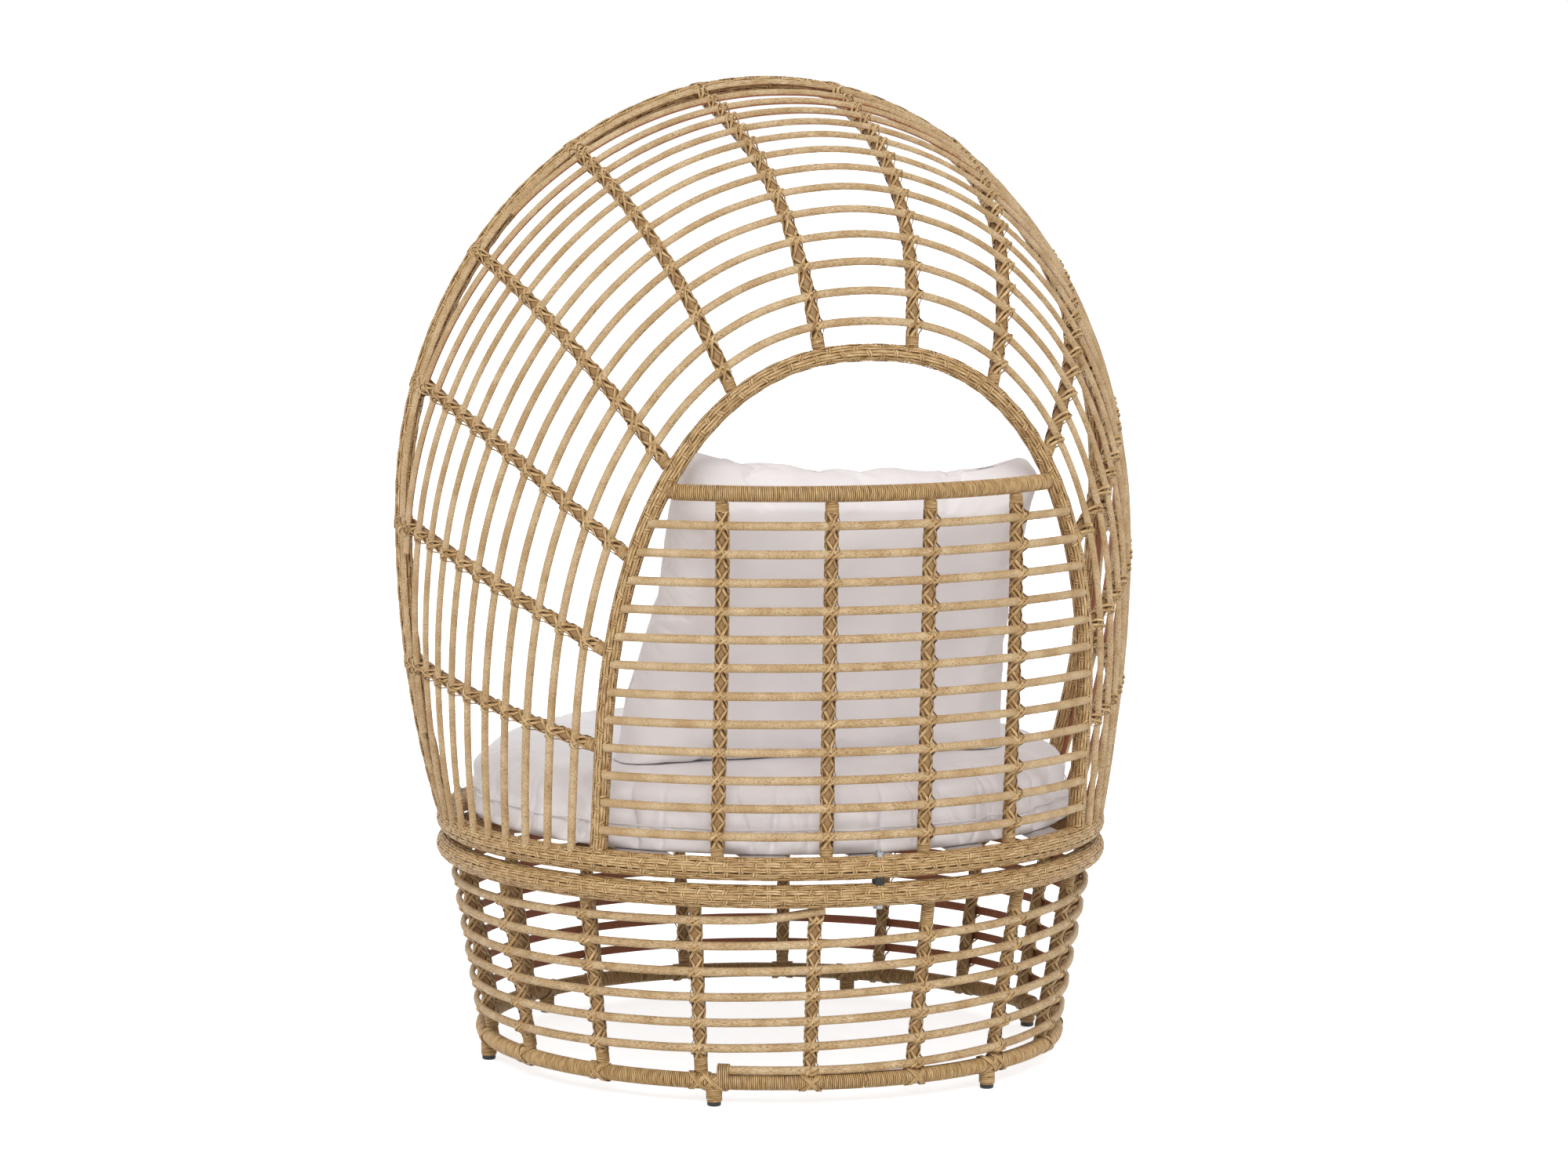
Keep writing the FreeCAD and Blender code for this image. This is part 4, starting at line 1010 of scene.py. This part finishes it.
leg_binding = Bundle()
for degrees in LEG_ANGLES:
    way = spoke(degrees)
    climb = np.linspace(0, 1, LEG_POINTS)[:, None] * np.array([0, 0, FLOOR_Z - LEG_FOOT_Z])
    leg_route = Route(way * FLOOR_RADIUS + climb + (0, 0, LEG_FOOT_Z), np.tile(way, (LEG_POINTS, 1)))
    coil(leg_binding, leg_route, 0.0, LEG_COIL, LEG_STEEL)
leg_binding.finish("leg_winding", "frame")

# %% [markdown]
# ## Crossed ties
# The floor ring carries a crossed pair of ties at every post and leg, which holds its coil down.
# A tie is a loop round the ring that is tilted along it, one way and then the other, and it is
# three strips wide.

# %% Floor ring ties
TIE_POINTS = 32
TIE_STRIPS = 3
TIE_FILL = 0.95                 # of the pitch is strip
TIE_GAP = 0.0003                # a tie's underside above the radius it is laid at
TIE_LIFT = 0.0009               # one tie of a pair lies this much higher, over the other
TIE_BED = 0.0005                # the radius a tie is laid at, less than the coil's outside
POST_TIE_SPREAD = 0.0125        # how far a tie is tilted along the ring, at a post
LEG_TIE_SPREAD = 0.0135         # and at a leg


def crossed_ties(bundle, route, s, radius, spread, count=TIE_STRIPS):
    """Two tilted loops round a ring that cross on its outer side, each of count strips."""
    t = np.linspace(0, 2 * math.pi, TIE_POINTS + 1)[:-1]
    for hand in (1, -1):
        for strand in range(count):
            shift = (strand - (count - 1) / 2) * COIL_PITCH
            lift = radius + TIE_GAP + (TIE_LIFT if hand > 0 else 0)
            centre, outward = route.lay(s + shift + hand * spread * np.sin(t), t, lift)
            bundle.strip(centre, outward, COIL_PITCH * TIE_FILL, STRIP_THICKNESS, profile=SINGLE, loop=True)


joint_binding = Bundle()
for number in range(BASE_POSTS):
    crossed_ties(joint_binding, floor_ring_route, (number + 0.5) / BASE_POSTS * floor_ring_route.length,
                 FLOOR_OUTER - TIE_BED, POST_TIE_SPREAD)
for degrees in LEG_ANGLES:
    crossed_ties(joint_binding, floor_ring_route, (degrees % 360) / 360 * floor_ring_route.length,
                 FLOOR_OUTER - TIE_BED, LEG_TIE_SPREAD)
joint_binding.finish("floor_ring_joint_ties", "frame")

# %% [markdown]
# The long base cane starts on the floor ring, where its end is lashed down. The lashing is a coil
# that goes round the ring and the cane together, so it stands further out where the cane lies.

# %% Base cane end lashing
LASHING_TURNS = 6
LASHING_TURN_POINTS = 24
LASHING_GAP = 0.0006            # over the cane
LASHING_REACH = 0.55            # radians to either side of the cane within which it stands out
LASHING_START = 0.001           # past the cane's end

end_lashing = Bundle()
t = np.linspace(0, LASHING_TURNS, LASHING_TURNS * LASHING_TURN_POINTS + 1)
around = 2 * math.pi * t
upward = math.copysign(math.pi / 2, floor_ring_route.side[0][2])
from_up = np.abs((around - upward + math.pi) % (2 * math.pi) - math.pi)
radius = FLOOR_OUTER + (CANE_WIDTH + LASHING_GAP) / (1 + (from_up / LASHING_REACH) ** 4)
start = floor_ring_route.length * CANE_START / 360
places, ways = floor_ring_route.lay(start + LASHING_START + t * COIL_PITCH, around, radius)
end_lashing.strip(places, ways, COIL_PITCH * COIL_FILL, THIN_COIL, profile=SINGLE)
end_lashing.finish("base_cane_end_lashing", "frame")

# %% [markdown]
# The same crossed ties hold the front hoop's sleeve where each rib meets it.

# %% Front hoop ties
HOOP_TIE_BED = 0.0004
HOOP_TIE_SPREAD = 0.011

hoop_ties = Bundle()
for share in RIB_SHARES:
    crossed_ties(hoop_ties, hoop_route, hoop_route.length / 2 + share * HOOP.length,
                 HOOP_OUTER - HOOP_TIE_BED, HOOP_TIE_SPREAD)
hoop_ties.finish("front_hoop_joint_ties", "frame")

# %% [markdown]
# ## Cushions
# Both cushions are polyester fibre in an off-white polyester cover: a thick round seat pad and a
# square pillow. The cover is a plain weave, matt and a little fuzzy, so it gets a high roughness,
# a little sheen and a fine relief of threads.

# %% Cushion cover material
THREAD = 0.0012                 # drawn about twice as coarse as the real thread, so that it shows

cover, tree, shader = new_material("polyester_cover_woven", 0.85, specular=0.25, ior=1.5, sheen=0.25)
spot = node(tree, "ShaderNodeTexCoord").outputs["Object"]
threads = node(tree, "ShaderNodeTexNoise", {"Vector": spot, "Scale": 1 / THREAD, "Detail": 1.0})
cloud = node(tree, "ShaderNodeTexNoise", {"Vector": spot, "Scale": 9.0, "Detail": 2.0})
off_white = ramp(tree, cloud.outputs[0], ((0.3, "#ECE8E9"), (0.7, "#F5F2F2")))
tree.links.new(off_white, shader.inputs["Base Color"])
bump(tree, shader, threads.outputs[0], strength=0.15, distance=0.0004)
print("material", cover.name)

# %% [markdown]
# ### Moving the points of a mesh
# Some shapes are easier to give as a rule for every point than as a row of edits. These helpers
# read a mesh's points into an array and put them back, moved.

# %% Mesh helpers


def only(piece):
    """Selects one piece and makes it the active one."""
    bpy.ops.object.select_all(action="DESELECT")
    piece.select_set(True)
    bpy.context.view_layer.objects.active = piece


def settle(piece):
    """Puts the piece's place into its mesh."""
    only(piece)
    bpy.ops.object.transform_apply(location=True, rotation=True, scale=True)


def mesh_points(piece):
    """The piece's points as rows of x, y and z."""
    place = np.zeros(len(piece.data.vertices) * 3, np.float32)
    piece.data.vertices.foreach_get("co", place)
    return place.reshape(-1, 3).astype(float)


def shape_points(piece, function):
    """Moves a mesh's points with a function of their places."""
    place = function(mesh_points(piece))
    piece.data.vertices.foreach_set("co", place.astype(np.float32).ravel())
    piece.data.update()


print("mesh helpers ready")

# %% [markdown]
# ### Inflating
# A stuffed shape is hard to draw and easy to inflate. A simple solid is cut into even small faces,
# and Blender's cloth solver blows it up like a balloon. How far it goes depends on the size and
# the stiffness of the cloth, so every point's move is capped.

# %% Inflating


def inflate(piece, voxel, pressure, cap, held=None, frames=20):
    """Remeshes a solid evenly and blows it up as cloth, by no more than cap; held points stay."""
    only(piece)
    piece.data.remesh_voxel_size = voxel
    bpy.ops.object.voxel_remesh()
    start = mesh_points(piece)
    bpy.ops.object.modifier_add(type="CLOTH")
    cloth = piece.modifiers[-1]
    cloth.settings.use_pressure = True
    cloth.settings.uniform_pressure_force = pressure
    cloth.settings.effector_weights.gravity = 0.0
    if held:
        group = piece.vertex_groups.new(name="held")
        group.add([int(i) for i in np.flatnonzero(held(start))], 1.0, "REPLACE")
        cloth.settings.vertex_group_mass = group.name
    for number in range(1, frames + 1):
        bpy.context.scene.frame_set(number)
    bpy.ops.object.modifier_apply(modifier=cloth.name)
    bpy.context.scene.frame_set(1)
    move = mesh_points(piece) - start
    size = np.linalg.norm(move, axis=1, keepdims=True)
    shape_points(piece, lambda place: start + move * np.minimum(1.0, cap / np.maximum(size, 1e-9)))
    print(piece.name, "moved by up to", round(float(size.max()) * 1000, 1), "mm, capped at", cap * 1000)
    bpy.ops.object.modifier_add(type="SUBSURF")
    piece.modifiers[-1].levels = 1
    bpy.ops.object.modifier_apply(modifier=piece.modifiers[-1].name)


CUSHION_VOXEL = 0.006           # size of a face before the subdivision
CUSHION_PRESSURE = 4.0
print("cushions have faces", CUSHION_VOXEL * 1000, "mm wide when they are blown up")

# %% [markdown]
# ## The seat pad
# The pad is a thick disc. Its cover is a flat round on top, a flat round below and a side wall
# that is gathered where it is sewn to them, so the wall shows upright creases. It lies on the
# straps and fills the ring, which keeps its lower edge full. So the disc gets a tight lower edge
# and a generous upper one, and the points of its underside are held while the rest is inflated.

# %% Seat cushion
low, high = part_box("seat_cushion")
middle = (low + high) / 2
SEAT_HEIGHT = high.z - low.z
SEAT_RADIUS = high.x - middle.x
SEAT_LOWER_EDGE = 0.008
SEAT_UPPER_EDGE = 0.030
SEAT_SPARE = 0.004              # the disc starts this much too small at its side,
SEAT_SPARE_TOP = 0.008          # and this much too low
SEAT_CAP = 0.012                # no point moves further than this
SEAT_HELD = 0.014               # points below this height above its underside are held
SEAT_SIDES = 128

bpy.ops.mesh.primitive_cylinder_add(vertices=SEAT_SIDES, radius=SEAT_RADIUS - SEAT_SPARE,
                                    depth=SEAT_HEIGHT - SEAT_SPARE_TOP,
                                    location=middle - Vector((0, 0, SEAT_SPARE_TOP / 2)))
seat = bpy.context.object
seat.name = "seat_pad"
settle(seat)
for edge, top in ((SEAT_LOWER_EDGE, False), (SEAT_UPPER_EDGE, True)):
    bpy.ops.object.mode_set(mode="EDIT")
    bpy.ops.mesh.select_all(action="DESELECT")
    bpy.ops.object.mode_set(mode="OBJECT")
    for face in seat.data.polygons:
        face.select = len(face.vertices) == SEAT_SIDES and (face.center.z > middle.z) == top
    bpy.ops.object.mode_set(mode="EDIT")
    bpy.ops.mesh.bevel(offset=edge, segments=5, affect="EDGES")
    bpy.ops.object.mode_set(mode="OBJECT")
inflate(seat, CUSHION_VOXEL, CUSHION_PRESSURE, SEAT_CAP,
        held=lambda place: place[:, 2] < low.z + SEAT_HELD)
print("seat pad", len(seat.data.polygons), "faces, from a disc of radius", round(SEAT_RADIUS, 3), "m")

# %% [markdown]
# The creases come after the inflating. Each is a narrow furrow at an uneven place round the wall,
# deepest at half height and running out over the upper edge, and the wall swells between them.

# %% Seat creases
CREASE_DEPTH = 0.021            # scale of the furrows' depth
SWELL_GAIN = 1.6                # how strongly the wall swells between the furrows
DEEP_CREASES = (7, 40, 0.011)   # seed, number, and half a crease's width in radians
FINE_CREASES = (23, 34, 0.007)  # these are half as deep


def creases(angle, seed, count, half_width):
    """Upright creases at uneven places round the edge: 0 between them, 1 in the middle of one."""
    chance = np.random.RandomState(seed)
    places = (np.arange(count) + chance.uniform(-0.40, 0.40, count)) * 2 * math.pi / count
    depth = chance.uniform(0.3, 1.0, count)
    width = half_width * chance.uniform(0.6, 1.5, count)
    gap = np.abs((angle[:, None] - places[None] + math.pi) % (2 * math.pi) - math.pi)
    return np.max(depth[None] / (1 + (gap / width[None]) ** 2), axis=1)


def seat_gathers(place):
    """Creases where the cover is gathered round the edge, puffed up between them."""
    x, y, z = place[:, 0] - middle.x, place[:, 1] - middle.y, place[:, 2]
    angle, reach = np.arctan2(x, y), np.hypot(x, y)
    level = np.clip((z - low.z) / SEAT_HEIGHT, 0, 1)
    edge = np.clip((reach / SEAT_RADIUS - 0.70) / 0.30, 0, 1) ** 1.3
    wander = 0.05 * np.sin(5 * angle) * (level - 0.5) + 0.03 * np.sin(11 * angle + 2) * (level - 0.5)
    fold = creases(angle + wander, *DEEP_CREASES) + 0.5 * creases(angle - 1.5 * wander, *FINE_CREASES)
    swell = 0.0035 * np.sin(17 * angle + 2 * level) + 0.0025 * np.sin(29 * angle + 1 - 3 * level)
    wall = np.clip(level / 0.12, 0, 1) * np.clip((1.02 - level) / 0.35, 0.35, 1)
    press = edge * wall * (SWELL_GAIN * swell - CREASE_DEPTH * fold)
    scale = 1 + press / np.maximum(reach, 0.05)
    place[:, 0] = middle.x + x * scale
    place[:, 1] = middle.y + y * scale
    rim = np.clip((reach / SEAT_RADIUS - 0.55) / 0.45, 0, 1) ** 2
    place[:, 2] = z - (0.004 * rim + 0.010 * fold * edge) * np.clip(level - 0.45, 0, 1) * 1.8
    fit = SEAT_HEIGHT / (place[:, 2].max() - low.z)
    place[:, 2] = low.z + np.maximum(place[:, 2] - low.z, 0) * min(fit, 1.0)
    return place


shape_points(seat, seat_gathers)
only(seat)
bpy.ops.object.shade_smooth()
paint(seat, cover)
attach(seat, "seat_cushion")
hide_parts("seat_cushion")
seat_size = np.ptp(mesh_points(seat), axis=0)
print("seat pad", len(seat.data.polygons), "faces,", [round(float(v), 3) for v in seat_size])

# %% [markdown]
# A cord of piping closes the seat cover's lower seam. It follows the pad, so its line is read from
# the pad itself: the widest point of the mesh low on the side, in every direction.

# %% Seat piping
PIPING_RADIUS = 0.0016
PIPING_LEVEL = 0.036            # above the pad's underside
PIPING_POINTS = 180
PIPING_BAND = 0.006             # the pad is measured this far above and below the piping,
PIPING_WINDOW = 0.03            # and this many radians to either side of each point
PIPING_SUNK = 0.0004            # the cord's middle lies this far inside the pad's widest point

points = mesh_points(seat)
band = points[np.abs(points[:, 2] - low.z - PIPING_LEVEL) < PIPING_BAND]
band_angle = np.arctan2(band[:, 0], band[:, 1])
band_reach = np.hypot(band[:, 0], band[:, 1])
line = []
for number in range(PIPING_POINTS):
    angle = 2 * math.pi * number / PIPING_POINTS
    near = np.abs((band_angle - angle + math.pi) % (2 * math.pi) - math.pi) < PIPING_WINDOW
    reach = band_reach[near].max() - PIPING_SUNK
    line.append((reach * math.sin(angle), reach * math.cos(angle), low.z + PIPING_LEVEL))
curve = bpy.data.curves.new("seat_piping", "CURVE")
curve.dimensions = "3D"
spline = curve.splines.new("POLY")
spline.points.add(len(line) - 1)
for point, place in zip(spline.points, line):
    point.co = (*place, 1)
spline.use_cyclic_u = True
curve.bevel_depth = PIPING_RADIUS
curve.bevel_resolution = 2
piping = bpy.data.objects.new("seat_piping", curve)
bpy.context.scene.collection.objects.link(piping)
only(piping)
bpy.ops.object.convert(target="MESH")
piping = bpy.context.object
bpy.ops.object.shade_smooth()
paint(piping, cover)
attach(piping, "seat_cushion")
print("piping", len(piping.data.polygons), "faces")

# %% [markdown]
# ## The back pillow
# The pillow is a stuffed square that leans against the back. Inflating draws its sides in and
# its faces out, as stuffing does, so it starts too wide and too thin. It is then measured along
# its own three directions and brought to the size of the real pillow.

# %% Back cushion
low_back, high_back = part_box("back_cushion")
BACK_LEAN = math.radians(20.0)
BACK_TILT = math.radians(3.0)   # it has slumped a little to one side
BACK_SLIDE = -0.012             # and slid a little that way
BACK_SIZE = Vector((0.590, 0.135, 0.464))
BACK_START = Vector((0.020, -0.050, 0.020))     # added before inflating: wider and thinner
BACK_EDGE = 0.026               # bevel of the block it starts as
BACK_CAP = 0.026                # no point moves further than this

back_middle = (low_back + high_back) / 2
bpy.ops.mesh.primitive_cube_add(size=1.0, location=back_middle)
back = bpy.context.object
back.name = "back_pillow"
back.scale = BACK_SIZE + BACK_START
back.rotation_euler = (Matrix.Rotation(-BACK_LEAN, 3, "X") @ Matrix.Rotation(-BACK_TILT, 3, "Y")).to_euler()
into_back = np.array(back.rotation_euler.to_matrix())
bpy.ops.object.transform_apply(location=False, rotation=False, scale=True)
bpy.ops.object.mode_set(mode="EDIT")
bpy.ops.mesh.select_all(action="SELECT")
bpy.ops.mesh.bevel(offset=BACK_EDGE, segments=4, affect="EDGES")
bpy.ops.object.mode_set(mode="OBJECT")
settle(back)
inflate(back, CUSHION_VOXEL, CUSHION_PRESSURE, BACK_CAP)
print("back pillow", len(back.data.polygons), "faces, leaning", round(math.degrees(BACK_LEAN), 1), "degrees")

# %% [markdown]
# The folds are soft waves that slant across the faces and grow towards the seams, and the pillow
# is a little thicker below, where the filling has sunk.

# %% Pillow folds
FOLD_DEPTH = 0.0045             # of the folds on the faces
CORNER_DROP = 0.012             # the lower corners sag by this much
TOP_DIP = 0.010                 # and the upper edge by this much between its corners


def pillow_folds(place):
    """Soft slanting folds, a waist between the corners, and a flat underside that rests on the pad."""
    local = (place - np.array(back_middle)) @ into_back
    u, v = local[:, 0] / (BACK_SIZE.x / 2), local[:, 2] / (BACK_SIZE.z / 2)
    rim = np.clip((np.maximum(np.abs(u), np.abs(v)) - 0.45) / 0.55, 0, 1)
    wave = (np.sin(9 * u + 5 * v + 1.5 * np.sin(4 * v)) * 0.5
            + np.sin(16 * u - 7 * v + 2 * np.sin(3 * u)) * 0.3
            + np.sin(6 * u + 14 * v + 1.0) * 0.35)
    local[:, 1] += np.sign(local[:, 1]) * FOLD_DEPTH * wave * (0.25 + 0.75 * rim)
    local[:, 1] *= 1 + 0.40 * np.clip((-v - 0.2) / 0.8, 0, 1) ** 1.5 - 0.08 * np.clip(v, 0, 1)
    foot = np.clip(-v, 0, 1) ** 2
    local[:, 0] *= 1 - 0.018 * (1 - v ** 2) * np.abs(u) - 0.045 * np.clip(v, 0, 1) + 0.05 * foot
    local[:, 2] -= CORNER_DROP * foot * u ** 4
    local[:, 2] += 0.004 * wave * rim * v - TOP_DIP * np.clip(v, 0, 1) * (1 - u ** 2)
    size = np.ptp(local, axis=0)
    local = (local - (local.max(axis=0) + local.min(axis=0)) / 2) * np.array(BACK_SIZE) / size
    leaning = local @ into_back.T + np.array(back_middle) + (BACK_SLIDE, 0, 0)
    rest = np.clip((-local[:, 2] / (BACK_SIZE.z / 2) - 0.66) / 0.24, 0, 1)
    rest = rest * rest * (3 - 2 * rest)
    leaning[:, 2] += (low_back.z - leaning[:, 2]) * rest
    return leaning


shape_points(back, pillow_folds)
only(back)
bpy.ops.object.shade_smooth()
paint(back, cover)
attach(back, "back_cushion")
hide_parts("back_cushion")
print("back pillow", len(back.data.polygons), "faces")

# %% [markdown]
# ## Floor and light
# A plain white studio: soft light from all round, and one large soft lamp high on the left that
# gives the canes a lit side and a shaded side. The floor is white and keeps the shadow. It is
# lifted to white only where it is seen, directly or in a reflection, and so adds no diffuse light.

# %% Floor
FLOOR_SIZE = 60.0
FLOOR_DROP = 0.0005             # the floor lies this far under the glides
FLOOR_GLOW = 0.7


def seen_directly(tree):
    """1 for rays from the camera, also by way of a mirror or glass, and 0 for those that carry light."""
    path = node(tree, "ShaderNodeLightPath")
    return maths(tree, "MAXIMUM", path.outputs["Is Camera Ray"],
                 maths(tree, "MAXIMUM", path.outputs["Is Glossy Ray"], path.outputs["Is Transmission Ray"]))


bpy.ops.object.select_all(action="DESELECT")
bpy.ops.mesh.primitive_plane_add(size=FLOOR_SIZE, location=(0, 0, -FLOOR_DROP))
floor = bpy.context.object
floor.name = "studio_floor"
floor_paint, tree, shader = new_material("studio_floor_matt", 0.9, specular=0.0)
shader.inputs["Base Color"].default_value = linear("#EDEDED")
glow_strength = maths(tree, "MULTIPLY", seen_directly(tree), FLOOR_GLOW)
glow = node(tree, "ShaderNodeEmission", {"Color": (1, 1, 1, 1), "Strength": glow_strength})
both = node(tree, "ShaderNodeAddShader", {0: shader.outputs[0], 1: glow.outputs[0]})
tree.links.new(both.outputs[0], tree.nodes["Material Output"].inputs[0])
paint(floor, floor_paint)
print("floor", floor.name)

# %% [markdown]
# The world is a little dimmer as light than as background: what is seen directly has a strength of
# 1, which is white. The lamp is a sun with a wide disc, so that its shadows have soft edges.

# %% World and lamp
WORLD_LIGHT = 0.77
WORLD_SEEN = 0.23               # added where the world is seen directly
SUN_STRENGTH = 1.4
SUN_DISC = math.radians(25)
SUN_TURN = (math.radians(-48), math.radians(22), 0)     # from high on the left

world = bpy.data.worlds.new("studio")
bpy.context.scene.world = world
world.use_nodes = True
tree = world.node_tree
strength = maths(tree, "ADD", maths(tree, "MULTIPLY", seen_directly(tree), WORLD_SEEN), WORLD_LIGHT)
background = tree.nodes["Background"]
background.inputs["Color"].default_value = (1, 1, 1, 1)
tree.links.new(strength, background.inputs["Strength"])

bpy.ops.object.light_add(type="SUN", rotation=SUN_TURN)
sun = bpy.context.object
sun.data.energy = SUN_STRENGTH
sun.data.angle = SUN_DISC
bpy.context.scene.view_settings.view_transform = "Standard"
print("sun", sun.data.energy, "world", WORLD_LIGHT)

# %% [markdown]
# The dressed chair should be as large as the CAD model. The last cell brings the scene up to date.

bpy.context.view_layer.update()
